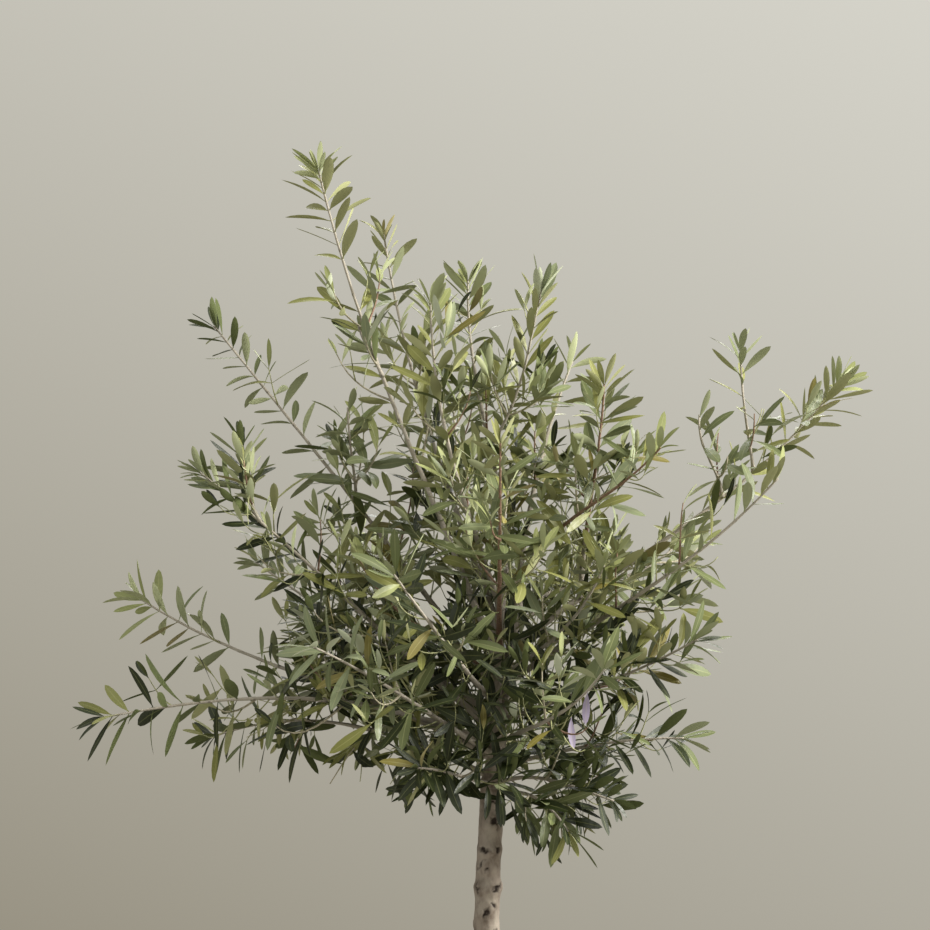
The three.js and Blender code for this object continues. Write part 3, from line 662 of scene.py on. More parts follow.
class Surface(NamedTuple):
    """A closed surface: its points, its four-sided and three-sided faces, and facts for each point."""

    points: np.ndarray
    quads: np.ndarray
    triangles: np.ndarray
    facts: dict


def joined(surfaces):
    """Surfaces one after another: each one's face numbers are raised by the points before it."""
    starts = np.cumsum([0] + [len(surface.points) for surface in surfaces])[:-1]
    names = surfaces[0].facts
    return Surface(
        np.concatenate([surface.points for surface in surfaces]),
        np.concatenate([surface.quads + start for surface, start in zip(surfaces, starts)]),
        np.concatenate([surface.triangles + start for surface, start in zip(surfaces, starts)]),
        {name: np.concatenate([surface.facts[name] for surface in surfaces]) for name in names},
    )


def repeated(points, quads, triangles, facts=None):
    """The same faces on every set of points, as one surface: each set's face numbers are raised by the
    points before it."""
    count, size = points.shape[:2]
    start = (np.arange(count) * size)[:, None, None]
    return Surface(
        points.reshape(-1, 3), (quads + start).reshape(-1, 4), (triangles + start).reshape(-1, 3),
        facts or {})


def new_object(name, data):
    """An object at the origin of the scene."""
    made = bpy.data.objects.new(name, data)
    bpy.context.scene.collection.objects.link(made)
    return made


def plain_object(name, surface):
    """A flat-shaded object, for the floor and for tools that cut."""
    mesh = bpy.data.meshes.new(name)
    mesh.from_pydata(surface.points.tolist(), [], surface.quads.tolist() + surface.triangles.tolist())
    return new_object(name, mesh)


def make_piece(name, surface, materials, nodes, finish_numbers=None):
    """Puts a surface into a smooth mesh object at the origin, which rides on the one body."""
    mesh = bpy.data.meshes.new(name)
    mesh.vertices.add(len(surface.points))
    mesh.vertices.foreach_set("co", surface.points.astype(np.float32).ravel())
    corners = np.concatenate([surface.quads.ravel(), surface.triangles.ravel()])
    sizes = np.repeat([4, 3], [len(surface.quads), len(surface.triangles)])
    mesh.loops.add(len(corners))
    mesh.loops.foreach_set("vertex_index", corners.astype(np.int32))
    mesh.polygons.add(len(sizes))
    mesh.polygons.foreach_set("loop_start", (np.cumsum(sizes) - sizes).astype(np.int32))
    if finish_numbers is not None:
        mesh.polygons.foreach_set("material_index", finish_numbers.astype(np.int32))
    mesh.polygons.foreach_set("use_smooth", np.ones(len(sizes), dtype=bool))
    for fact, values in surface.facts.items():
        mesh.attributes.new(fact, "FLOAT", "POINT").data.foreach_set("value", values.astype(np.float32))
    mesh.update(calc_edges=True)
    for material in materials:
        mesh.materials.append(material)
    piece = new_object(name, mesh)
    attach(piece, "root")
    if nodes:
        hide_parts(*nodes)
    return piece


def grid_faces(rings, sides):
    """Faces of a closed round grid whose first and last points are poles, all facing outwards."""
    side = np.arange(sides)
    after = (side + 1) % sides
    ring = 1 + sides * np.arange(rings - 1)[:, None]
    quads = np.stack([ring + side, ring + after, ring + sides + after, ring + sides + side], axis=-1)
    last = 1 + (rings - 1) * sides
    pole = rings * sides + 1
    triangles = np.concatenate([
        np.stack([np.zeros(sides, int), 1 + after, 1 + side], axis=1),
        np.stack([np.full(sides, pole), last + side, last + after], axis=1),
    ])
    return quads.reshape(-1, 4), triangles


def closed_grids(first, body, last, facts):
    """Grids of rings and sides, each closed by a pole before its first ring and one after its last. A
    pole has the facts of the ring's first point beside it."""
    count, rings, sides = body.shape[:3]
    points = np.concatenate([first[:, None], body.reshape(count, -1, 3), last[:, None]], axis=1)
    spread = {
        name: np.concatenate([
            values[:, 0, :1], values.reshape(count, -1), values[:, -1, :1]], axis=1).ravel()
        for name, values in facts.items()}
    return repeated(points, *grid_faces(rings, sides), spread)


def rods(centres, radii, facts, sides):
    """Rounded rods along paths, all as one surface. A ring's points are its centre plus the radius
    times the cosine and the sine of the angle along two directions square to the path; the first of
    them is a fixed direction with its part along the path taken off. Both ends close in a pole."""
    way = unit(np.gradient(centres, axis=1))
    chord = np.abs(centres[:, -1] - centres[:, 0])
    across = square_to(way, np.eye(3)[np.argmin(chord, axis=1)][:, None, :])
    other = np.cross(way, across)
    angle = round_angles(sides)
    cosine = (radii * np.cos(angle))[..., None]
    sine = (radii * np.sin(angle))[..., None]
    body = centres[:, :, None] + cosine * across[:, :, None] + sine * other[:, :, None]
    return closed_grids(centres[:, 0], body, centres[:, -1], facts)


def turned(radii, heights, sides, ripple=None):
    """A body turned about the upright axis: each profile point's radius times the cosine and the sine
    of the angle, with a ripple added to the radius. Its first and last profile points are poles."""
    angle = round_angles(sides)
    radius = radii[1:-1, None] + 0 * angle
    if ripple is not None:
        radius = radius + ripple(radii[1:-1], heights[1:-1], angle)
    body = polar(radius, angle, heights[1:-1, None])
    return closed_grids(UP[None] * heights[0], body[None], UP[None] * heights[-1], {})


# Growth

class Shoots(NamedTuple):
    """Shoots as arrays: path, length, radius at foot and tip, the limb's number, the shoot's own
    number, its order (0 a limb's stem, 1 a twig, 2 a side shoot), where its leaves begin, and whether
    it droops."""

    curve: np.ndarray
    length: np.ndarray
    radius: np.ndarray
    tip_radius: np.ndarray
    number: np.ndarray
    item: np.ndarray
    order: np.ndarray
    leafy_from: np.ndarray
    droops: np.ndarray


class Limb(NamedTuple):
    """One limb: its path and what its row in the table says."""

    name: str
    kind: str
    number: int
    bare: float
    curve: np.ndarray
    length: float
    radius: float
    droops: bool


class Growth(NamedTuple):
    """A rule for shoots on one kind of parent: the gap from node to node, a shoot's length at least and
    how much of its parent's it gains, the share of the places that it fills where the crown is open
    and where it is crowded, the shoots' order, and their seed."""

    gap: float
    least: float
    gain: float
    filled: tuple
    order: int
    seed: int


TWIG_GROWTH = Growth(118 * MM, 50 * MM, 0.12, (1, 1), 1, 1)
TWIG_SIDE_GROWTH = Growth(36 * MM, 26 * MM, 0.32, (0.35, 1.4), 2, 2)
STEM_SIDE_GROWTH = Growth(42 * MM, 34 * MM, 0.06, (0.2, 1.6), 2, 3)
BOUGH_SIDE_GROWTH = Growth(26 * MM, 78 * MM, 0, (0.1, 1.5), 2, 4)
TRUNK_SIDE_GROWTH = Growth(22 * MM, 78 * MM, 0, (1.4, 1.4), 2, 5)


def trunk_point(height):
    """The trunk's middle: a line that leans and curves with the height, and bows by half a sine."""
    share = (height - SOIL_HEIGHT) / (TRUNK_TOP - SOIL_HEIGHT)
    aside = TRUNK_LEAN * share + TRUNK_CURVE * share ** 2
    return np.stack([aside, TRUNK_BOW * np.sin(math.pi * share), height + 0 * share], axis=-1)


def trunk_radius(height):
    """A straight taper to the fork, a faster one by a power of the height above it, and a root flare
    that dies away exponentially."""
    below = (height - SOIL_HEIGHT) / (TRUNK_FORK_HEIGHT - SOIL_HEIGHT)
    above = np.clip((height - TRUNK_FORK_HEIGHT) / (TRUNK_TOP - TRUNK_FORK_HEIGHT), 0, 1)
    tapering = mix(TRUNK_FOOT_RADIUS, TRUNK_FORK_RADIUS, below) + FLARE_RADIUS * flare_share(height)
    ending = mix(TRUNK_FORK_RADIUS, TRUNK_TOP_RADIUS, above ** TRUNK_CROWN_TAPER)
    return np.where(height > TRUNK_FORK_HEIGHT, ending, tapering)


def flare_share(height):
    """How much of the root flare is left: an exponential fall from 1 at the soil."""
    return np.exp(-np.maximum(height - SOIL_HEIGHT, 0) / FLARE_HEIGHT)


def limb_radius(limb, share):
    """A taper from foot to tip that falls by a power of the share."""
    return mix(limb.radius, LIMB_TIP_RADIUS, share ** LIMB_TAPER)


def plot_limbs():
    """Each limb's path: a cubic curve from where it leaves to its tip, with handles of a fixed share
    of its length at the pitches that its row gives."""
    plotted = {}
    for number, row in enumerate(LIMBS, 1):
        name, source, at, azimuth, reach, height, rise, finish, bare, kind = row
        if source == "trunk":
            start = trunk_point(np.float64(at * MM))
        else:
            start = curve_point(plotted[source].curve, np.array([float(at)]))[0]
        tip = heading(azimuth * RADIANS, 0) * reach * MM + UP * height * MM
        way = tip - start
        length = float(np.linalg.norm(way))
        bearing = math.atan2(way[1], way[0])
        leave = heading(bearing, rise * RADIANS) * length * LIMB_HANDLE
        arrive = heading(bearing, finish * RADIANS) * length * LIMB_HANDLE
        curve = np.array([start, start + leave, tip - arrive, tip])
        radius = min(LIMB_BASE_RADIUS, LIMB_LEAST_RADIUS + length * LIMB_RADIUS_PER_LENGTH)
        radius = SPECIAL_RADII.get(name, SPECIAL_RADII.get(kind, radius))
        plotted[name] = Limb(name, kind, number, bare, curve, length, radius, finish < DROOPING_PITCH)
    return list(plotted.values())


def stems_of(limbs):
    """The limbs' own paths as shoots of order 0."""
    return Shoots(
        np.array([limb.curve for limb in limbs]),
        np.array([limb.length for limb in limbs]),
        np.array([limb.radius for limb in limbs]),
        np.full(len(limbs), LIMB_TIP_RADIUS),
        np.array([limb.number for limb in limbs]),
        np.full(len(limbs), STEM_ITEM),
        np.zeros(len(limbs), int),
        np.array([limb.bare for limb in limbs]),
        np.array([limb.droops for limb in limbs]),
    )


def outward(along, turn, side):
    """The outward direction of one of a pair: a turn from level towards above the shoot, to a side."""
    level = np.cross(along, UP)
    upright = np.linalg.norm(level, axis=-1, keepdims=True) < NEARLY_UPRIGHT
    level = unit(np.where(upright, EAST - along * along[..., :1], level))
    above = unit(np.cross(level, along))
    return side[..., None] * (np.cos(turn)[..., None] * level + np.sin(turn)[..., None] * above)


def twig_curves(start, along, out, length, droops):
    """Cubic curves that leave at a wide angle and bend up to the light, or down on drooping limbs."""
    leave = along * math.cos(TWIG_ANGLE) + out * math.sin(TWIG_ANGLE)
    up = np.where(droops, -1.0, 1.0)[:, None] * UP
    reach = unit(leave + up * TWIG_LIFT)
    arrive = unit(leave * TWIG_TIP_WAY + along * TWIG_TIP_FOLLOW + up * TWIG_TIP_LIFT)
    size = length[:, None]
    tip = start + reach * size
    handle = size * LIMB_HANDLE
    return np.stack([start, start + leave * handle, tip - arrive * handle, tip], axis=1)


def on_view(across, down):
    """Where a pixel of the photograph lies on the upright plane through the trunk: across and up."""
    return np.array([(across - AXIS_PIXEL) * PIXEL, LEVEL_HEIGHT + (LEVEL_PIXEL - down) * PIXEL])


def seen(places):
    """Where places show on the upright plane through the trunk: across and up from the camera's
    stand, shrunk by how far behind the plane they lie."""
    stand = AIM - VIEW_DISTANCE * np.array([0, math.cos(VIEW_PITCH), math.sin(VIEW_PITCH)])
    offset = places - stand
    return stand[[0, 2]] - offset[..., [0, 2]] * (stand[1] / offset[..., 1:2])


def patch_distance(places, patches):
    """How far places show from the nearest patch's middle, counted in the patch's half sizes."""
    shown = seen(places)[..., None, :]
    rows = np.array(patches) * MM
    return np.linalg.norm((shown - rows[:, :2]) / rows[:, 2:], axis=-1).min(axis=-1)


def fullness(places):
    """1 inside a full place of the crown, falling straight to 0 where its edge ends."""
    return np.clip((1 + FULL_EDGE - patch_distance(places, CLUSTERS)) / FULL_EDGE, 0, 1)


def shelter(places, middle, reach):
    """1 well inside the heart or the dusk of the crown, falling to 0 outside it: a straight fall with the
    distance from its middle, counted in its own reaches."""
    return np.clip(SHELTER_END - np.linalg.norm((places - middle) / reach, axis=-1), 0, 1)


def crowding(places):
    """How crowded the side shoots stand: the larger of the heart's shelter and the full places'."""
    return np.maximum(shelter(places, HEART, HEART_REACH), fullness(places))


def pairs_on(counts):
    """The places of opposite pairs: each one's parent, its pair's number and its side, -1 or 1."""
    parent, child = children(counts * 2)
    return parent, child // 2, np.where(child % 2 == 0, -1.0, 1.0)


def grow(parents, first, last, feeding, rule, share=1):
    """Shoots in opposite pairs at even nodes along a stretch of each parent. Their number is the
    stretch's length over the rule's gap, pairs turn by a quarter turn from node to node, lengths gain
    with the parent's feeding length and fall from the first node to the last, and each is kept by a
    seeded draw below the share that is filled. One that would show in an open place is left out."""
    first, last = (np.broadcast_to(end, parents.length.shape) for end in (first, last))
    nodes = np.maximum(1, np.round(parents.length * (last - first) / rule.gap)).astype(int)
    parent, node, side = pairs_on(nodes)
    way = (node + FIRST_NODE) / nodes[parent]
    at = mix(first[parent], last[parent], way)[:, None]
    along = curve_way(parents.curve[parent], at)[:, 0]
    start = curve_point(parents.curve[parent], at)[:, 0]
    number, item = parents.number[parent], parents.item[parent]
    turn_key, own = node, node * 2 + (side + 1) / 2
    grown_item = own + TWIG_ITEM
    if rule.order > 1:
        turn_key = item * SHOOT_STEP + node + rule.seed
        own = item * SHOOT_STEP + own + SEED_STEP * rule.seed
        grown_item = own
    turn = (chance(number, turn_key, DRAW_TURN) * NODE_TURN_SPREAD + NODE_TURN * node) * math.pi
    vigour = mix(*TWIG_VIGOUR, way) * mix(*TWIG_VARIETY, chance(number, own, DRAW_VIGOUR))
    length = (rule.least + rule.gain * feeding)[parent] * vigour
    droops = parents.droops[parent]
    curves = twig_curves(start, along, outward(along, turn, side), length, droops)
    radius, tip_radius, order, bare = (
        np.full(len(parent), value) for value in (*TWIG_RADII[rule.order], rule.order, TWIG_BARE))
    grown = Shoots(curves, length, radius, tip_radius, number, grown_item, order, bare, droops)
    probes = curve_point(curves, np.full((len(parent), 2), SHOOT_PROBES))
    clear = (patch_distance(probes, WINDOWS) > SHOOT_CLEAR).all(axis=1)
    filled = share * mix(*rule.filled, crowding(start))
    return picked(grown, clear & (chance(number, own, DRAW_KEPT) < filled))


def grow_shoots(limbs, side_shoots):
    """All shoots: the stems, the twigs of the growth rule, and finer side shoots on twigs, between the
    twigs of each stem, along the boughs' inner stretches and on the trunk above the fork."""
    stems = stems_of(limbs)
    bare = stems.leafy_from
    twigs = grow(stems, bare, mix(bare, 1, TWIG_ZONE), stems.length * (1 - bare), TWIG_GROWTH)
    on_twigs = grow(twigs, *ON_TWIGS, twigs.length, TWIG_SIDE_GROWTH, side_shoots)
    on_stems = grow(stems, bare, ON_STEMS_TO, stems.length, STEM_SIDE_GROWTH, side_shoots)
    boughs = picked(stems, bare > BOUGHS_FROM)
    on_boughs = grow(
        boughs, ON_BOUGHS_FROM, boughs.leafy_from, boughs.length, BOUGH_SIDE_GROWTH, side_shoots)
    path = trunk_point(np.linspace(TRUNK_FORK_HEIGHT, TRUNK_TOP, TRUNK_PATH_POINTS))[None]
    one = np.ones(1)
    trunk = Shoots(
        path, one * (TRUNK_TOP - TRUNK_FORK_HEIGHT), one, one, one * TRUNK_NUMBER, one, one, one, one < 0)
    on_trunk = grow(trunk, ON_TRUNK_FROM, 1, trunk.length, TRUNK_SIDE_GROWTH, side_shoots)
    everything = (stems, twigs, on_twigs, on_stems, on_boughs, on_trunk)
    return Shoots(*(np.concatenate(columns) for columns in zip(*everything)))


# Leaves

class Leaves(NamedTuple):
    """Leaves as arrays: root, directions along, across and out of the upper face, sizes, how far the
    blade bends, sways, folds and twists, and its kind by number."""

    root: np.ndarray
    along: np.ndarray
    across: np.ndarray
    face: np.ndarray
    length: np.ndarray
    width: np.ndarray
    bend: np.ndarray
    sway: np.ndarray
    fold: np.ndarray
    twist: np.ndarray
    kind: np.ndarray


def count_pairs(shoots, limbs, node_gap):
    """How many pairs of leaves each shoot has, and how strongly they draw to its tip: its leafy length
    over the node gap, more in full places, and more again at a tip or in a dense tuft."""
    leafy = shoots.length * (1 - shoots.leafy_from)
    crowd = fullness(curve_point(shoots.curve, np.full((len(leafy), 1), CROWD_AT)))[:, 0]
    pairs = np.maximum(1, np.round(leafy / node_gap * (1 + CROWDED_PAIRS * crowd))).astype(int)
    pairs = pairs + TUFT_PAIRS[shoots.order]
    drawn = NODE_CLOSING[shoots.order]
    tufts = np.array([STEM_TUFTS.get(limb.name, 0) for limb in limbs])
    pairs[:len(limbs)] += tufts
    drawn[:len(limbs)] += TUFT_CLOSING * tufts
    return pairs, drawn


def limb_habits(limbs):
    """For each limb's number: how wide its leaves open, how large its stem's leaves are, and the kinds
    of those along it and at its tip, which are -1 where they are dealt."""
    opening, enlarging = np.ones((2, TRUNK_NUMBER + 1))
    dressed = np.full((TRUNK_NUMBER + 1, 2), -1)
    for limb in limbs:
        if limb.name in STEM_LEAVES:
            opening[limb.number], enlarging[limb.number], *kinds = STEM_LEAVES[limb.name]
            dressed[limb.number] = [KINDS.index(kind) for kind in kinds]
    return opening, enlarging, dressed


def deal_kinds(root, tender, shoot_draw, own_draw):
    """The kind of each leaf: a few are old, tender ones are young by a mixed draw, and the rest go by
    their shoot's draw against the kinds' shares, which grow in the dusk. The dusk and the low crown so
    get darker leaves and fewer young ones, as painted shade."""
    shade = shelter(root, DUSK, DUSK_REACH)
    low = np.clip((LIGHT_HEIGHT - root[:, 2]) / LIGHT_FADE, 0, 1)
    young_draw = YOUNG_BY_SHOOT * shoot_draw + YOUNG_BY_LEAF * own_draw
    cases = {
        "old": own_draw > OLD_FROM,
        # painted shade: fewer pale young leaves in the dusk and low in the crown
        "young": tender & (young_draw > mix(*YOUNG_DRAW_FROM, np.maximum(shade, low))),
    }
    # painted shade: the darker kinds' shares grow in the dusk
    for kind, shares in KIND_SHARES.items():
        cases[kind] = shoot_draw < mix(*shares, shade)
    return np.select(
        list(cases.values()), [KINDS.index(kind) for kind in cases], default=KINDS.index("silver"))


def grow_leaves(shoots, limbs, settings):
    """Opposite pairs along every shoot. A pair's angle to its shoot closes in towards the tip, pairs
    turn by a quarter turn from node to node with a seeded swing, and the upper face looks to the
    shoot's tip and upwards, rolled by a seeded angle. Leaves at the tip are smaller."""
    pairs, drawn = count_pairs(shoots, limbs, settings.node_gap)
    parent, pair, side = pairs_on(pairs)
    share = (pair + 1) / pairs[parent]
    closing = 1 - (1 - share) ** drawn[parent]
    at = mix(shoots.leafy_from[parent], 1 - LAST_NODE_GAP / shoots.length[parent], closing)[:, None]
    curve = shoots.curve[parent]
    root, along = curve_point(curve, at)[:, 0], curve_way(curve, at)[:, 0]
    number, shoot = shoots.number[parent], shoots.item[parent]
    item = shoot * LEAF_STEP + pair * 2 + side
    opening, enlarging, dressed = limb_habits(limbs)
    limb, on_stem, tender = number.astype(int), shoots.order[parent] == 0, share > YOUNG_FROM

    swing = LEAF_TURN_SPREAD * chance(number, item, DRAW_SWING)
    out = outward(along, (chance(number, shoot, DRAW_SHOOT_TURN) + NODE_TURN * pair + swing) * math.pi, side)
    angle = mix(LEAF_ANGLE, LEAF_ANGLE_AT_TIP, share ** LEAF_CLOSING_POWER)
    angle = angle + about(number, item, DRAW_SPREAD) * LEAF_ANGLE_SPREAD * (LEAF_SPREAD_END - share)
    angle = angle * opening[limb]
    sag = mix(*LEAF_SAG, chance(number, item, DRAW_SAG)) * (1 - share * LEAF_SAG_FADE)
    way = unit(along * np.cos(angle)[:, None] + out * np.sin(angle)[:, None] - UP * sag[:, None])
    face = square_to(way, along * FACE_TO_TIP + UP * FACE_UPWARDS)
    across = np.cross(face, way)
    roll = (about(number, item, DRAW_ROLL) * LEAF_ROLL)[:, None]
    face, across = face * np.cos(roll) + across * np.sin(roll), across * np.cos(roll) - face * np.sin(roll)

    size = mix(*LEAF_SIZE, chance(number, item, DRAW_SIZE))
    size = size * mix(1, LEAF_SIZE_AT_TIP, share ** LEAF_SIZE_POWER) * np.where(on_stem, enlarging[limb], 1)
    own_draw = chance(number, item, DRAW_KIND)
    kind = deal_kinds(root, tender, chance(number, shoot, DRAW_SHOOT_KIND), own_draw)
    own_kind = dressed[limb, tender.astype(int)]
    kind = np.where(on_stem & (own_kind >= 0) & (own_draw < STEM_KIND_SHARE), own_kind, kind)
    leaves = Leaves(
        root - way * LEAF_ROOT_DEPTH, way, across, face, settings.length * size,
        settings.width * size * mix(*LEAF_BREADTH, chance(number, item, DRAW_BREADTH)),
        mix(*LEAF_BEND, chance(number, item, DRAW_BEND)), about(number, item, DRAW_SWAY) * LEAF_SWAY,
        mix(*LEAF_FOLD, chance(number, item, DRAW_FOLD)), about(number, item, DRAW_TWIST) * LEAF_TWIST, kind)
    middle = root + way * (leaves.length / 2)[:, None]
    return picked(leaves, keeps_clear(leaves, limbs) & (patch_distance(middle, WINDOWS) > 1))


def probes_of(leaves, share):
    """The points at a share of the leaves' lengths."""
    return leaves.root + leaves.along * (leaves.length * share)[:, None]


def keeps_clear(leaves, limbs):
    """True for a leaf that lies further from the middle lines of the trunk and of the limbs' inner
    parts than their radius and the clearance, at each of the probed shares of its length."""
    heights = np.linspace(SOIL_HEIGHT, TRUNK_TOP, GUARD_TRUNK_POINTS)
    shares = np.linspace(0, 1, GUARD_LIMB_POINTS)
    middles, radii = [trunk_point(heights)], [trunk_radius(heights)]
    for limb in limbs:
        guarded = shares * max(limb.bare, GUARD_LEAST_SHARE)
        middles.append(curve_point(limb.curve, guarded))
        radii.append(limb_radius(limb, guarded))
    middles, radii = np.concatenate(middles), np.concatenate(radii)
    clear = np.ones(len(leaves.root), dtype=bool)
    for share in LEAF_PROBES:
        distance = np.sqrt(((probes_of(leaves, share)[:, None] - middles[None]) ** 2).sum(axis=-1))
        clear &= (distance - radii > LEAF_CLEARANCE).all(axis=1)
    return clear


def hang_faded(leaves):
    """Turns one leaf at each faded place into a faded one that hangs down with its upper face to the
    front: the one whose root shows nearest, with a share of how far back it stands added. Leaves in
    front of it that show in its room at one of the probed shares of their length are left out."""
    kept = np.ones(len(leaves.root), dtype=bool)
    faded = KINDS.index("faded")
    for pixel in FADED_PIXELS:
        place = on_view(*pixel)
        root = place + np.array([0, FADED_LENGTH / 2])
        away = np.linalg.norm(seen(leaves.root) - root, axis=1) + FADED_NEARNESS * leaves.root[:, 1]
        which = np.argmin(away)
        leaves.kind[which] = faded
        leaves.along[which] = unit(FADED_WAY)
        leaves.across[which] = unit(np.cross(-NORTH, leaves.along[which]))
        leaves.face[which] = np.cross(leaves.along[which], leaves.across[which])
        leaves.length[which] = FADED_LENGTH
        leaves.width[which] = FADED_WIDTH
        in_front = leaves.root[:, 1] < leaves.root[which, 1] + FADED_DEPTH
        for share in FADED_PROBES:
            shown = seen(probes_of(leaves, share))
            hides = in_front & (np.linalg.norm((shown - place) / FADED_ROOM, axis=1) < 1)
            kept &= ~hides | (leaves.kind == faded)
    return picked(leaves, kept)


def blade_width(share):
    """How wide a blade is at a share of its length, as a share of its widest: a thin petiole, then a
    lance shape, the product of powers of the share and its rest that is 1 where it is widest."""
    blade = np.clip((share - PETIOLE_END) / (1 - PETIOLE_END), 0, 1)
    narrowing = BLADE_WIDEST / (1 - BLADE_WIDEST)
    outline = ((blade / BLADE_WIDEST) ** narrowing * (1 - blade) / (1 - BLADE_WIDEST)) ** BLADE_BLUNTNESS
    return np.maximum(outline, PETIOLE_WIDTH)


def blades(leaves, thickness):
    """The leaves' points and faces, with the number of the finish of each face: 0 the upper blade,
    1 the midrib and 2 the underside. A blade's middle line follows the first terms of an arc that
    bends away from its face and sways aside, and its rings turn with the twist. A ring has its two
    rims, which the fold lifts, with the midrib's two edges between them, and the keel under it. It
    runs against the clock as seen from the tip, so that the faces point outwards."""
    rings = len(STATIONS)
    count = len(leaves.root)
    share = STATIONS[None, :, None]
    length, bend, sway, twist = (
        values[:, None, None] for values in (leaves.length, leaves.bend, leaves.sway, leaves.twist))
    along, face, side = leaves.along[:, None], leaves.face[:, None], leaves.across[:, None]

    def middle_at(share):
        return leaves.root[:, None] + length * (
            along * share * (1 - bend ** 2 * share ** 2 / 6) + (side * sway - face * bend) * share ** 2 / 2)

    across = side * np.cos(twist * share) + face * np.sin(twist * share)
    lifted = face * np.cos(twist * share) - side * np.sin(twist * share)
    half = (blade_width(STATIONS)[None] * leaves.width[:, None] / 2)[:, :, None, None]
    aside = np.array([1, RIB_SHARE, -RIB_SHARE, -1, 0])[:, None]
    rim = np.array([1, 0, 0, 1, 0])[:, None]
    keel = np.array([0, 0, 0, 0, -1])[:, None]
    lift = rim * leaves.fold[:, None, None, None] * half + keel * thickness
    body = middle_at(share)[:, :, None] + across[:, :, None] * aside * half + lifted[:, :, None] * lift
    surface = closed_grids(leaves.root, body, middle_at(1)[:, 0], {})
    strip = np.array([0, 1, 0, 2, 2])
    finishes = np.concatenate([np.tile(strip, count * (rings - 1)), np.tile(strip, count * 2)])
    return surface, finishes


def sharpen_rims(piece):
    """Marks the edges along both rims of every blade, so that the two faces shade apart."""
    mesh = piece.data
    ring_points = len(STATIONS) * LEAF_RING
    ends = np.zeros(len(mesh.edges) * 2, np.int32)
    mesh.edges.foreach_get("vertices", ends)
    place = (ends.reshape(-1, 2) % (ring_points + 2)) - 1
    pole = (place < 0) | (place >= ring_points)
    sharp = np.zeros(len(mesh.edges), dtype=bool)
    for rim in LEAF_RIMS:
        sharp |= ((place % LEAF_RING == rim) | pole).all(axis=1)
    mesh.attributes.new("sharp_edge", "BOOLEAN", "EDGE").data.foreach_set("value", sharp)


# Wood

def scar_relief(height, angle):
    """For every scar a broad knot, a bell curve of the distance from its middle, and in it a narrow
    hollow with a raised lip, bell curves of the distance along and across a seeded slant, bent by
    slow sines. How dark a point is follows the hollow."""
    raised = np.zeros(np.broadcast(height, angle).shape)
    dark = np.zeros(raised.shape)
    for number, (scar_height, azimuth, width) in enumerate(SCARS):
        size = SCAR_SIZE * width * MM
        up = height - scar_height * MM
        aside = np.angle(np.exp(1j * (angle - azimuth * RADIANS)))
        aside = aside * trunk_radius(np.float64(scar_height * MM))
        slant, length, depth = (chance(number, SCAR_ITEM, draw) for draw in SCAR_DRAWS)
        slant = mix(*SCAR_SLANT, slant)
        bent = np.sin(up * SCAR_BEND_UP + number) + np.sin(aside * SCAR_BEND_ASIDE + 2 * number)
        bent = SCAR_BEND * size * bent
        across = aside * math.cos(slant) + up * math.sin(slant) + bent
        along = up * math.cos(slant) - aside * math.sin(slant) + bent
        hollow = (across / (SCAR_ACROSS * size)) ** 2 + (along / (size * mix(*SCAR_ALONG, length))) ** 2
        knot = (aside / (KNOT_ACROSS * size)) ** 2 + ((up + KNOT_DROP * size) / (KNOT_UP * size)) ** 2
        lip = np.exp(-(np.sqrt(hollow) - LIP_PLACE) ** 2 * LIP_SHARPNESS)
        raised += mix(*KNOT_HEIGHT, depth) * MM * np.exp(-knot) + LIP_HEIGHT * lip
        raised -= SCAR_DEPTH * np.exp(-hollow)
        dark = np.maximum(dark, np.exp(-hollow * SCAR_DARKNESS))
    return raised, dark


def bark_relief(height, angle, depth):
    """Long swellings, sines of the height and of whole numbers of turns round the trunk, with level
    wrinkles where a warped wave of the height is near its crest, and a fine product of sines."""

    def wave(climb, turns, phase=0):
        return np.sin(climb * height + turns * angle + phase)

    climbs, phases = waves(len(SWELLING_TURNS), SWELLING_SEED, SWELLING_CLIMB)
    swellings = sum(
        wave(climb, turns, phase) / (SWELLING_EASE + turns)
        for climb, turns, phase in zip(climbs, SWELLING_TURNS, phases))
    warp = sum(size * wave(climb, turns, phase) for size, climb, turns, phase in WARP_WAVES)
    wrinkles = np.maximum(0, np.sin(WRINKLE_CLIMB * height + warp)) ** WRINKLE_POWER
    wrinkles = wrinkles * np.clip(wave(*WRINKLE_PATCHES), 0, 1)
    grain = wave(*GRAIN_WAVES[0]) * wave(*GRAIN_WAVES[1])
    return depth * (SWELLINGS * swellings + WRINKLES * wrinkles + GRAIN * grain)


def trunk_surface(depth):
    """The trunk: level rings round its middle line, with the flare's lobes, the relief and the scars
    added to the radius. Rings crowd towards the foot."""
    share = np.linspace(0, 1, TRUNK_RINGS) ** TRUNK_RING_POWER
    height = mix(SOIL_HEIGHT - TRUNK_SUNK, TRUNK_TOP + TRUNK_PAST_TOP, share)[:, None]
    angle = round_angles(TRUNK_SIDES)[None]
    lobes = 1 + FLARE_LOBE_DEPTH * flare_share(height) * np.cos(FLARE_LOBES * angle)
    raised, dark = scar_relief(height, angle)
    calm = np.clip((TRUNK_TOP - height) / CALM_LENGTH, CALM_LEAST, 1)
    radius = trunk_radius(height) * lobes + calm * bark_relief(height, angle, depth) + raised
    middle = trunk_point(height[:, 0])
    body = polar(radius, angle, height)
    body[..., :2] += middle[:, None, :2]
    thin = np.clip((height - TRUNK_THIN_FROM) / TRUNK_THIN_OVER, 0, 1) + 0 * angle
    return closed_grids(middle[:1], body[None], middle[-1:], {"scar": dark[None], "thin": thin[None]})


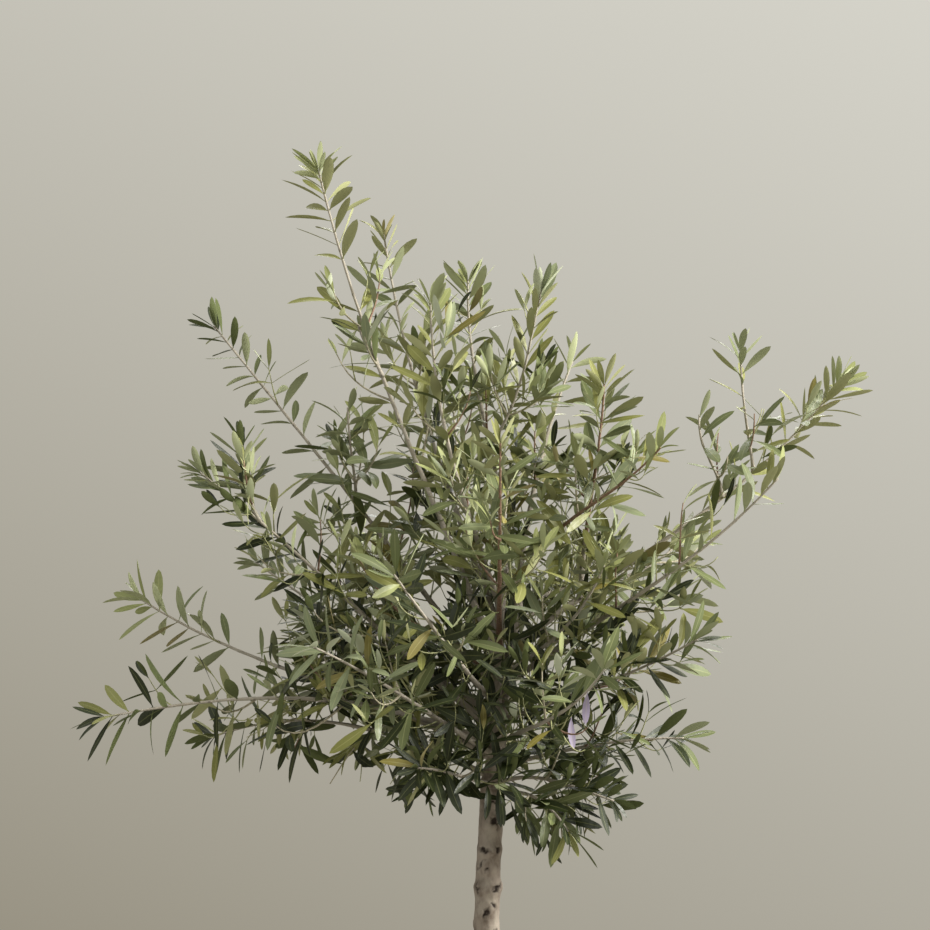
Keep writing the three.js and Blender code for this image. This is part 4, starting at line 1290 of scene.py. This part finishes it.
def bough_surface(limb, first, last, sides, ring_gap, depth):
    """One limb between two shares of its length: a tapering rod with a collar where it leaves, a
    swelling at every node, and shallow seeded relief."""
    rings = max(LEAST_RINGS, int(limb.length * (last - first) / ring_gap))
    share = mix(first, last, np.linspace(0, 1, rings))
    distance = share * limb.length
    radius = limb_radius(limb, share)
    collar = 1 + (COLLAR * np.exp(-distance / COLLAR_LENGTH) if first == 0 else 0)
    node = np.maximum(0, np.cos(2 * math.pi * distance / KNUCKLE_GAP + limb.number)) ** KNUCKLE_POWER
    angle = round_angles(sides)
    up, phase = waves(LIMB_WAVES, limb.number, LIMB_WAVE_CLIMB)
    relief = sum(
        np.sin(climb * distance[:, None] + (wave % LIMB_WAVE_TURNS + 1) * angle + shift)
        for wave, (climb, shift) in enumerate(zip(up, phase)))
    rough = 1 + depth / LIMB_BASE_RADIUS * LIMB_RELIEF * relief
    full = (radius * collar * (1 + KNUCKLE * node))[:, None] * rough
    thin = np.clip(LIMB_THINNESS - radius / LEADER_RADIUS, 0, 1)[:, None] + 0 * angle
    dark = (KNUCKLE_DARKNESS * node)[:, None] * np.clip(relief, 0, 1)
    centres = curve_point(limb.curve, share)
    return rods(centres[None], full[None], {"scar": dark[None], "thin": thin[None]}, sides)


# Pot and soil

def along_profile(corners, gap):
    """Points along a run of straight lines, each cut into even steps of about the gap."""
    radii, heights = [corners[0][0]], [corners[0][1]]
    for (radius, height), (next_radius, next_height) in zip(corners, corners[1:]):
        steps = max(1, round(math.hypot(next_radius - radius, next_height - height) / gap))
        share = np.arange(1, steps + 1) / steps
        radii.extend(mix(radius, next_radius, share))
        heights.extend(mix(height, next_height, share))
    return np.array(radii), np.array(heights)


def pot_outer_radius(height):
    """A straight flare from foot to rim."""
    return mix(POT_FOOT_RADIUS, POT_RIM_RADIUS - RIM_STEP, height / POT_HEIGHT)


def pot_profile():
    """The pot's section from the middle of its underside, up outside, over the rim and down inside.
    The rim's top is two quarter circles."""
    rim_foot = POT_HEIGHT - RIM_HEIGHT
    crease = rim_foot - RIM_CREASE
    inside = POT_RIM_RADIUS - RIM_STEP - POT_WALL
    floor_edge = pot_outer_radius(POT_BASE) - POT_WALL
    turn = np.linspace(0, math.pi / 2, RIM_CURL_POINTS)
    short, long = RIM_CURL * (1 - np.cos(turn)), RIM_CURL * (1 - np.sin(turn))
    corners = [
        (0, 0), (POT_FOOT_RADIUS - FOOT_CORNER, 0), (POT_FOOT_RADIUS - FOOT_BEVEL, FOOT_BEVEL_HEIGHT),
        (pot_outer_radius(FOOT_CORNER), FOOT_CORNER), (pot_outer_radius(crease), crease),
        (pot_outer_radius(rim_foot) + RIM_CREASE_STEP, rim_foot),
        *((POT_RIM_RADIUS - aside * MM, rim_foot + up * MM) for aside, up in RIM_EDGE),
        *zip(POT_RIM_RADIUS - short, POT_HEIGHT - long),
        *zip(inside + long, POT_HEIGHT - short),
        (floor_edge + INSIDE_STEP, POT_BASE + INSIDE_CORNER), (floor_edge - INSIDE_CORNER, POT_BASE),
        (0, POT_BASE),
    ]
    return along_profile(corners, POT_POINT_GAP)


def pot_ripple(radii, heights, angle):
    """Throwing lines: fine waves up the wall, warped a little round it, and a slow wobble. They die
    away at the foot, at the rim and towards the middle."""
    wall = np.clip(heights / CALM_FOOT, 0, 1) * np.clip((POT_HEIGHT - heights) / CALM_RIM, 0, 1)
    begin, over = CALM_MIDDLE
    wall = (wall * np.clip((radii / POT_FOOT_RADIUS - begin) / over, 0, 1))[:, None]
    height, turn = heights[:, None], angle[None]
    lines = np.sin(height * 2 * math.pi / THROWING_GAP + THROWING_WARP * np.sin(turn))
    slow = np.sin(height * 2 * math.pi / WOBBLE_GAP + 2 * turn)
    sway = np.sin(3 * turn + height * WALL_SWAY_CLIMB)
    return -wall * (WALL_SET_BACK + THROWING_LINES * lines + WOBBLE * slow + WALL_SWAY * sway)


def soil_level(radius, angle):
    """The soil's top: a flat middle that dishes towards the wall, with seeded crumbly waves."""
    dish = np.clip((radius - SOIL_FLAT_RADIUS) / (SOIL_RADIUS - SOIL_FLAT_RADIUS), 0, 1) ** SOIL_FALL_POWER
    x, y = radius * np.cos(angle), radius * np.sin(angle)
    crumbs = sum(
        np.sin(across * x + along * y + shift)
        for across, along, shift in zip(*waves(CRUMBS, CRUMB_SEED, CRUMB_RANGE, CRUMB_RANGE)))
    calm = np.clip((SOIL_RADIUS - radius) / CRUMB_EDGE, 0, 1)
    return SOIL_HEIGHT - SOIL_FALL * dish - SOIL_INSET + calm * CRUMB_HEIGHT * crumbs


def soil_surface():
    """The soil's body: a plain underside and wall, and a finely ridged top."""
    angle = round_angles(SOIL_SIDES)[None]
    floor = POT_BASE + SOIL_INSET
    foot = pot_outer_radius(POT_BASE) - POT_WALL - SOIL_FOOT_GAP
    corner_out, corner_up = SOIL_CORNER
    top = (SOIL_RADIUS - SOIL_EDGE_GAP) * np.linspace(1, SOIL_MIDDLE, SOIL_RINGS)[:, None]
    low_radius = np.array([[foot * SOIL_FOOT_SHARE], [foot], [foot + corner_out]])
    low = np.array([[floor], [floor], [POT_BASE + corner_up]]) + 0 * angle
    level = np.minimum(soil_level(top, angle), SOIL_HEIGHT + SOIL_HIGHEST)
    level[0] = SOIL_HEIGHT - SOIL_EDGE_DEPTH
    body = polar(np.concatenate([low_radius, top]), angle, np.concatenate([low, level]))
    return closed_grids(UP[None] * floor, body[None], UP[None] * level[-1].mean(), {})


def chip_surface():
    """Bark chips strewn over the soil: boxes of seeded size and turn, with their corners moved."""
    draw = np.random.default_rng(CHIP_SEED)
    angle = draw.uniform(0, 2 * math.pi, CHIPS)
    radius = CHIP_CLEAR + (SOIL_RADIUS - CHIP_EDGE_GAP) * np.sqrt(draw.uniform(0, 1, CHIPS))
    size = np.stack([draw.uniform(least, most, CHIPS) for least, most in CHIP_SIZES], 1) * MM
    middle = polar(radius, angle, soil_level(radius, angle) + CHIP_LIFT)
    way = unit(np.stack([*(draw.normal(size=(2, CHIPS))), draw.normal(size=CHIPS) * CHIP_TILT], 1))
    across = unit(np.cross(UP + draw.normal(size=(CHIPS, 3)) * CHIP_ROLL, way))
    third = np.cross(way, across)
    around = [(-0.5, -0.5), (0.5, -0.5), (0.5, 0.5), (-0.5, 0.5)]
    corner = np.array([(x, y, z) for z in (-0.5, 0.5) for x, y in around])
    offset = corner[None] * size[:, None] * draw.uniform(*CHIP_CORNERS, (CHIPS, len(corner), 1))
    points = middle[:, None]
    for axis, direction in enumerate((way, across, third)):
        points = points + offset[..., axis:axis + 1] * direction[:, None]
    quads = np.array([[3, 2, 1, 0], [4, 5, 6, 7], [0, 1, 5, 4], [1, 2, 6, 5], [2, 3, 7, 6], [3, 0, 4, 7]])
    return repeated(points, quads, np.zeros((0, 3), int))


# Materials

def linear(colour):
    """A screen colour as linear light with full opacity. A channel is divided by the slope up to the
    knee, and above it is raised by the offset, scaled back to 1 and taken to the power."""
    values = [
        value / SCREEN_SLOPE if value <= SCREEN_KNEE
        else ((value + SCREEN_OFFSET) / (1 + SCREEN_OFFSET)) ** SCREEN_POWER for value in colour]
    return (*values, 1.0)


def lit(colour, share):
    """A linear colour made darker or lighter by a share."""
    return (*(share * value for value in colour[:3]), 1.0)


class Nodes:
    """Adds nodes to a tree."""

    def __init__(self, tree):
        self.tree = tree

    def feed(self, value, socket):
        """Links a node's output to a socket, or fills the socket with a plain value."""
        if isinstance(value, bpy.types.NodeSocket):
            self.tree.links.new(value, socket)
        else:
            socket.default_value = value

    def add(self, kind, inputs=(), **values):
        """Adds a node, sets its values, and links or fills its inputs."""
        node = self.tree.nodes.new(kind)
        for name, value in values.items():
            setattr(node, name, value)
        for name, value in dict(inputs).items():
            self.feed(value, node.inputs[name])
        return node

    def remap(self, value, low, high, to_low=0.0, to_high=1.0):
        """A value stretched from one range to another, and kept inside it."""
        return self.add("ShaderNodeMapRange", {
            "Value": value, "From Min": low, "From Max": high, "To Min": to_low, "To Max": to_high,
        }).outputs["Result"]

    def blend(self, factor, first, second):
        """Two colours mixed by a factor. The node's colour sockets share their names with others, so
        they are taken by number."""
        node = self.add("ShaderNodeMix", data_type="RGBA")
        for socket, value in zip((0, 6, 7), (factor, first, second)):
            self.feed(value, node.inputs[socket])
        return node.outputs[2]


class Finish(Nodes):
    """Builds one material: a Principled shader and the nodes that feed it."""

    def __init__(self, name, roughness, specular):
        self.material = bpy.data.materials.new(name)
        self.material.use_nodes = True
        super().__init__(self.material.node_tree)
        self.shader = self.tree.nodes["Principled BSDF"]
        self.shader.inputs["Roughness"].default_value = roughness
        self.shader.inputs["Specular IOR Level"].default_value = specular

    def noise(self, scale, detail, roughness=0.55, stretch=(1, 1, 1)):
        """A noise value over object coordinates, which are stretched first."""
        place = self.add("ShaderNodeMapping", {
            "Vector": self.add("ShaderNodeTexCoord").outputs["Object"], "Scale": stretch})
        return self.add("ShaderNodeTexNoise", {
            "Vector": place.outputs["Vector"], "Scale": scale, "Detail": detail, "Roughness": roughness,
        }).outputs["Fac"]

    def fact(self, name):
        """A float attribute of the mesh."""
        return self.add("ShaderNodeAttribute", attribute_name=name).outputs["Fac"]

    def colour(self, value):
        """Gives the shader its base colour."""
        self.feed(value, self.shader.inputs["Base Color"])

    def roughen(self, value, least, most, low=0.3, high=0.7):
        """Varies the roughness from least to most while a noise value goes from low to high."""
        self.feed(self.remap(value, low, high, least, most), self.shader.inputs["Roughness"])

    def bump(self, height, strength, distance):
        """Raises the surface by a height value."""
        normal = self.add("ShaderNodeBump", {
            "Height": height, "Strength": strength, "Distance": distance}).outputs["Normal"]
        self.feed(normal, self.shader.inputs["Normal"])


def bark_finish(settings):
    """Grey-beige olive bark with darker streaks, warm patches and dark scars."""
    finish = Finish("olive_bark", roughness=0.82, specular=0.25)
    streaks = finish.noise(scale=85, detail=6, roughness=0.62, stretch=(1, 1, 0.6))
    patches = finish.noise(scale=34, detail=3, stretch=(1, 1, 0.7))
    grain = finish.noise(scale=900, detail=2)
    young = linear(settings.young_bark)
    base = finish.blend(
        finish.remap(streaks, low=0.45, high=0.75), linear(settings.bark), linear(settings.bark_shade))
    base = finish.blend(finish.remap(patches, low=0.5, high=0.72, to_high=0.55), base, young)
    base = finish.blend(finish.remap(finish.fact("thin"), low=0, high=1, to_high=0.7), base, young)
    scars = finish.remap(finish.fact("scar"), low=0.15, high=0.75)
    finish.colour(finish.blend(scars, base, linear(settings.scar)))
    finish.roughen(grain, least=0.72, most=0.93)
    height = finish.add("ShaderNodeMath", {0: streaks, 1: grain}, operation="ADD").outputs[0]
    finish.bump(height, strength=0.55, distance=1.2 * MM)
    return finish.material


def twig_finish(name, colour, shade):
    """Smooth thin bark with pale flecks."""
    finish = Finish(name, roughness=0.7, specular=0.3)
    flecks = finish.noise(scale=420, detail=3)
    finish.colour(finish.blend(finish.remap(flecks, low=0.4, high=0.62), linear(colour), linear(shade)))
    finish.roughen(flecks, least=0.6, most=0.85)
    finish.bump(flecks, strength=0.3, distance=0.6 * MM)
    return finish.material


def leaf_finish(name, colour, least, most, specular, depth):
    """A plain leaf colour with faint ripples in its roughness, from least to most, and its relief."""
    finish = Finish(name, roughness=most, specular=specular)
    finish.colour(linear(colour))
    ripples = finish.noise(scale=170, detail=1)
    finish.roughen(ripples, least, most, low=0.35, high=0.65)
    finish.bump(ripples, strength=0.12, distance=depth)
    return finish.material


def leaf_finishes(kind):
    """The finishes of one kind of leaf: its glossy upper blade, its midrib and its dull underside."""
    upper, under = LEAF_COLOURS[kind]
    rib = tuple(mix(np.array(upper), np.array(STRAW), RIB_PALENESS))
    return [
        leaf_finish(f"{kind}_leaf_upper", upper, least=0.42, most=0.58, specular=0.4, depth=0.4 * MM),
        leaf_finish(f"{kind}_leaf_midrib", rib, least=0.5, most=0.66, specular=0.4, depth=0.4 * MM),
        leaf_finish(f"{kind}_leaf_underside", under, least=0.7, most=0.88, specular=0.25, depth=0.7 * MM),
    ]


def clay_finish(settings):
    """Fired clay: warm body colour in soft clouds, a pale mineral bloom in noise patches, fine grit."""
    finish = Finish("fired_clay", roughness=0.85, specular=0.25)
    clouds = finish.noise(scale=14, detail=5, stretch=(1, 1, 2.2))
    grit = finish.noise(scale=700, detail=2)
    stains = finish.noise(scale=9, detail=6, roughness=0.65, stretch=(1, 1, 0.5))
    clay = linear(settings.clay)
    base = finish.blend(finish.remap(clouds, low=0.35, high=0.65), clay, lit(clay, CLAY_SHADE))
    bloom = finish.remap(stains, low=0.52, high=0.7, to_high=0.75)
    finish.colour(finish.blend(bloom, base, linear(settings.bloom)))
    finish.roughen(grit, least=0.76, most=0.95)
    finish.bump(grit, strength=0.3, distance=0.8 * MM)
    return finish.material


def soil_finish(settings):
    """Damp dark soil with paler dry crumbs."""
    finish = Finish("potting_soil", roughness=0.95, specular=0.15)
    crumbs = finish.noise(scale=260, detail=6, roughness=0.7)
    soil = linear(settings.soil)
    finish.colour(finish.blend(finish.remap(crumbs, low=0.42, high=0.7), soil, lit(soil, DRY_SOIL)))
    finish.bump(crumbs, strength=0.8, distance=3 * MM)
    return finish.material


def chip_finish():
    """Two browns of bark in a grain across the chips."""
    finish = Finish("bark_chips", roughness=0.85, specular=0.25)
    grain = finish.noise(scale=160, detail=4, stretch=(1, 1, 4))
    dark, pale = CHIP_COLOURS
    finish.colour(finish.blend(grain, linear(dark), linear(pale)))
    finish.bump(grain, strength=0.6, distance=2 * MM)
    return finish.material


def floor_finish(settings):
    """A plain floor in soft clouds of two close shades."""
    finish = Finish("studio_floor", roughness=0.75, specular=0.3)
    colour = linear(settings.floor)
    finish.colour(finish.blend(finish.noise(scale=6, detail=4), colour, lit(colour, FLOOR_SHADE)))
    return finish.material


def make_air(settings):
    """Plain pale air that lights the tree softly: its colour goes in a straight line from the low one
    to the high one with how far the direction points up and to the right."""
    world = bpy.data.worlds.new("studio_air")
    world.use_nodes = True
    air = Nodes(world.node_tree)
    direction = air.add("ShaderNodeTexCoord").outputs["Generated"]
    slope = air.add("ShaderNodeVectorMath", {0: direction, 1: AIR_SLOPE}, operation="DOT_PRODUCT")
    share = air.remap(slope.outputs["Value"], *AIR_RANGE)
    colour = air.blend(share, linear(settings.low_backdrop), linear(settings.backdrop))
    air.feed(colour, world.node_tree.nodes["Background"].inputs["Color"])
    return world


# Operators

def aim(place, target):
    """The turn that points a lamp at a target: tilt from straight down, then bearing."""
    x, y, z = (end - start for start, end in zip(place, target))
    return (math.atan2(math.hypot(x, y), -z), 0, math.atan2(y, x) - math.pi / 2)


def foliage_nodes():
    """The names of the solids that stand for the masses of foliage."""
    return sorted(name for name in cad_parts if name.endswith("_foliage"))


class OLIVE_OT_stage(bpy.types.Operator):
    """Makes the floor, the backdrop colour, the soft lights and the camera"""

    bl_idname = "olive.stage"
    bl_label = "Stage"

    def execute(self, context):
        settings = context.scene.olive_stage
        self.make_floor(settings)
        self.make_lights(settings)
        self.make_camera(settings)
        context.scene.world = make_air(settings)
        context.scene.view_settings.view_transform = "Standard"
        return {"FINISHED"}

    def make_floor(self, settings):
        """A round disc whose top is the ground, a little thick so that it is closed."""
        radii = np.array([0, 1, 1, 0]) * settings.floor_radius
        heights = np.array([-1, -1, 0, 0]) * FLOOR_DEPTH - FLOOR_DROP
        floor = plain_object("floor", turned(radii, heights, FLOOR_SIDES))
        floor.data.materials.append(floor_finish(settings))

    def make_lights(self, settings):
        """A large soft light above on the right, a weak one on the left, and one from behind."""
        strengths = (settings.key_power, settings.fill_power, settings.back_power)
        for (name, (place, size, colour)), strength in zip(LAMPS.items(), strengths):
            light = bpy.data.lights.new(name, "AREA")
            light.energy, light.size, light.color = strength, size, colour
            lamp = new_object(name, light)
            lamp.location = place
            lamp.rotation_euler = aim(place, LAMP_TARGET)

    def make_camera(self, settings):
        """The photograph's view: its distance, its slight upward pitch and its angle of view."""
        camera = bpy.data.cameras.new("camera")
        camera.sensor_width = SENSOR_WIDTH
        camera.lens = SENSOR_WIDTH * settings.camera_distance / (IMAGE_SIZE * PIXEL)
        stand = new_object("camera", camera)
        stand.location = AIM - settings.camera_distance * np.array([
            0, math.cos(settings.camera_pitch), math.sin(settings.camera_pitch)])
        stand.rotation_euler = (math.pi / 2 + settings.camera_pitch, 0, 0)
        bpy.context.scene.camera = stand


class OLIVE_OT_wood(bpy.types.Operator):
    """Makes the trunk and the boughs with the relief of their bark"""

    bl_idname = "olive.wood"
    bl_label = "Trunk and boughs"

    def execute(self, context):
        settings = context.scene.olive_wood
        boughs = [limb for limb in plot_limbs() if limb.kind == "bough"]
        pieces = [trunk_surface(settings.relief)]
        for limb in boughs:
            sides = LEADER_SIDES if limb.name == "right_leader" else BOUGH_SIDES
            pieces.append(bough_surface(limb, 0, limb.bare, sides, BOUGH_RING_GAP, settings.relief))
        nodes = ["trunk"] + [f"{limb.name}_bough" for limb in boughs]
        make_piece("trunk_and_boughs", joined(pieces), [bark_finish(settings)], nodes)
        return {"FINISHED"}


class OLIVE_OT_twigs(bpy.types.Operator):
    """Makes the leafy ends of the limbs, the twigs and the fine side shoots"""

    bl_idname = "olive.twigs"
    bl_label = "Twigs"

    def execute(self, context):
        wood = context.scene.olive_wood
        limbs = plot_limbs()
        self.make_ends(limbs, wood)
        shoots = grow_shoots(limbs, context.scene.olive_leaves.side_shoots)
        twigs, fine = (picked(shoots, shoots.order == order) for order in (1, 2))
        brown = chance(twigs.number, twigs.item, DRAW_BROWN) < BROWN_SHARE
        for name, chosen, shades, sides in [
            ("grey_twigs", picked(twigs, ~brown), GREY_WOOD, TWIG_SIDES),
            ("brown_twigs", picked(twigs, brown), BROWN_WOOD, TWIG_SIDES),
            ("side_shoots", fine, GREEN_WOOD, SIDE_SHOOT_SIDES),
        ]:
            share = np.linspace(0, 1, TWIG_RINGS)
            centres = curve_point(chosen.curve, np.tile(share, (len(chosen.length), 1)))
            radii = mix(chosen.radius[:, None], chosen.tip_radius[:, None], share)[..., None]
            surface = rods(centres, radii, {}, sides)
            make_piece(name, surface, [twig_finish(name, *shades)], foliage_nodes())
        return {"FINISHED"}

    def make_ends(self, limbs, wood):
        """The limbs' leafy ends, which begin a little inside the boughs, in grey bark and in brown."""
        grey, brown = [], []
        for limb in limbs:
            first = max(0, limb.bare - END_OVERLAP) if limb.kind == "bough" else 0
            end = bough_surface(limb, first, 1, END_SIDES, END_RING_GAP, wood.relief)
            (brown if limb.name in BROWN_ENDS else grey).append(end)
        brown_bark = twig_finish("brown_limb_ends", *BROWN_WOOD)
        make_piece("limb_ends", joined(grey), [bark_finish(wood)], foliage_nodes())
        make_piece("brown_limb_ends", joined(brown), [brown_bark], foliage_nodes())


class OLIVE_OT_leaves(bpy.types.Operator):
    """Makes the leaves, one piece for each kind"""

    bl_idname = "olive.leaves"
    bl_label = "Leaves"

    def execute(self, context):
        settings = context.scene.olive_leaves
        limbs = plot_limbs()
        leaves = hang_faded(grow_leaves(grow_shoots(limbs, settings.side_shoots), limbs, settings))
        for number, kind in enumerate(KINDS):
            surface, finishes = blades(picked(leaves, leaves.kind == number), settings.thickness)
            piece = make_piece(
                f"{kind}_leaves", surface, leaf_finishes(kind), foliage_nodes(), finishes)
            sharpen_rims(piece)
        return {"FINISHED"}


class OLIVE_OT_pot(bpy.types.Operator):
    """Makes the clay pot with its throwing lines, worn rim and drain holes"""

    bl_idname = "olive.pot"
    bl_label = "Pot"

    def execute(self, context):
        finish = clay_finish(context.scene.olive_pot)
        surface = turned(*pot_profile(), POT_SIDES, pot_ripple)
        pot = make_piece("clay_pot", surface, [finish], ["pot"])
        self.drill_drains(pot)
        return {"FINISHED"}

    def drill_drains(self, pot):
        """Cuts the drain holes with plain rods, which stand out of the base by its thickness on both
        sides and are then removed."""
        foot = polar(DRAIN_CIRCLE, round_angles(DRAIN_COUNT), -POT_BASE)
        centres = foot[:, None] + np.linspace(0, 3 * POT_BASE, 3)[None, :, None] * UP
        tool = plain_object("drain_rods", rods(centres, np.full((1, 1, 1), DRAIN_RADIUS), {}, DRAIN_SIDES))
        whole = pot.data
        cut = pot.modifiers.new("drains", "BOOLEAN")
        cut.operation, cut.solver, cut.object = "DIFFERENCE", "EXACT", tool
        depsgraph = bpy.context.evaluated_depsgraph_get()
        drilled = bpy.data.meshes.new_from_object(pot.evaluated_get(depsgraph))
        pot.modifiers.clear()
        pot.data = drilled
        for used in (whole, tool.data):
            bpy.data.meshes.remove(used)


class OLIVE_OT_soil(bpy.types.Operator):
    """Makes the potting soil with its crumbs and bark chips"""

    bl_idname = "olive.soil"
    bl_label = "Soil"

    def execute(self, context):
        finish = soil_finish(context.scene.olive_pot)
        make_piece("potting_soil", soil_surface(), [finish], ["soil"])
        make_piece("bark_chips", chip_surface(), [chip_finish()], [])
        return {"FINISHED"}


STEPS = (OLIVE_OT_stage, OLIVE_OT_wood, OLIVE_OT_twigs, OLIVE_OT_leaves, OLIVE_OT_pot, OLIVE_OT_soil)
GROUPS = {
    "olive_stage": OliveStageSettings,
    "olive_wood": OliveWoodSettings,
    "olive_leaves": OliveLeafSettings,
    "olive_pot": OlivePotSettings,
}


class OLIVE_PT_panel(bpy.types.Panel):
    """Lists the steps that dress the tree"""

    bl_idname = "OLIVE_PT_panel"
    bl_label = "Olive Tree"
    bl_space_type = "VIEW_3D"
    bl_region_type = "UI"
    bl_category = "Olive Tree"

    def draw(self, context):
        for group_name, group in GROUPS.items():
            box = self.layout.box()
            for name in group.__annotations__:
                box.prop(getattr(context.scene, group_name), name)
        for operator in STEPS:
            self.layout.operator(operator.bl_idname)


CLASSES = (*GROUPS.values(), *STEPS, OLIVE_PT_panel)


def register():
    """Registers every class and hangs each group of settings on the scene."""
    for made in CLASSES:
        bpy.utils.register_class(made)
    for name, group in GROUPS.items():
        setattr(bpy.types.Scene, name, bpy.props.PointerProperty(type=group))


def unregister():
    """Takes away what register added, the last first."""
    for name in GROUPS:
        delattr(bpy.types.Scene, name)
    for made in reversed(CLASSES):
        bpy.utils.unregister_class(made)


def main():
    """Dresses the frame step by step."""
    register()
    bpy.ops.olive.stage()
    bpy.ops.olive.wood()
    bpy.ops.olive.twigs()
    bpy.ops.olive.leaves()
    bpy.ops.olive.pot()
    bpy.ops.olive.soil()


if __name__ == "__main__":
    main()
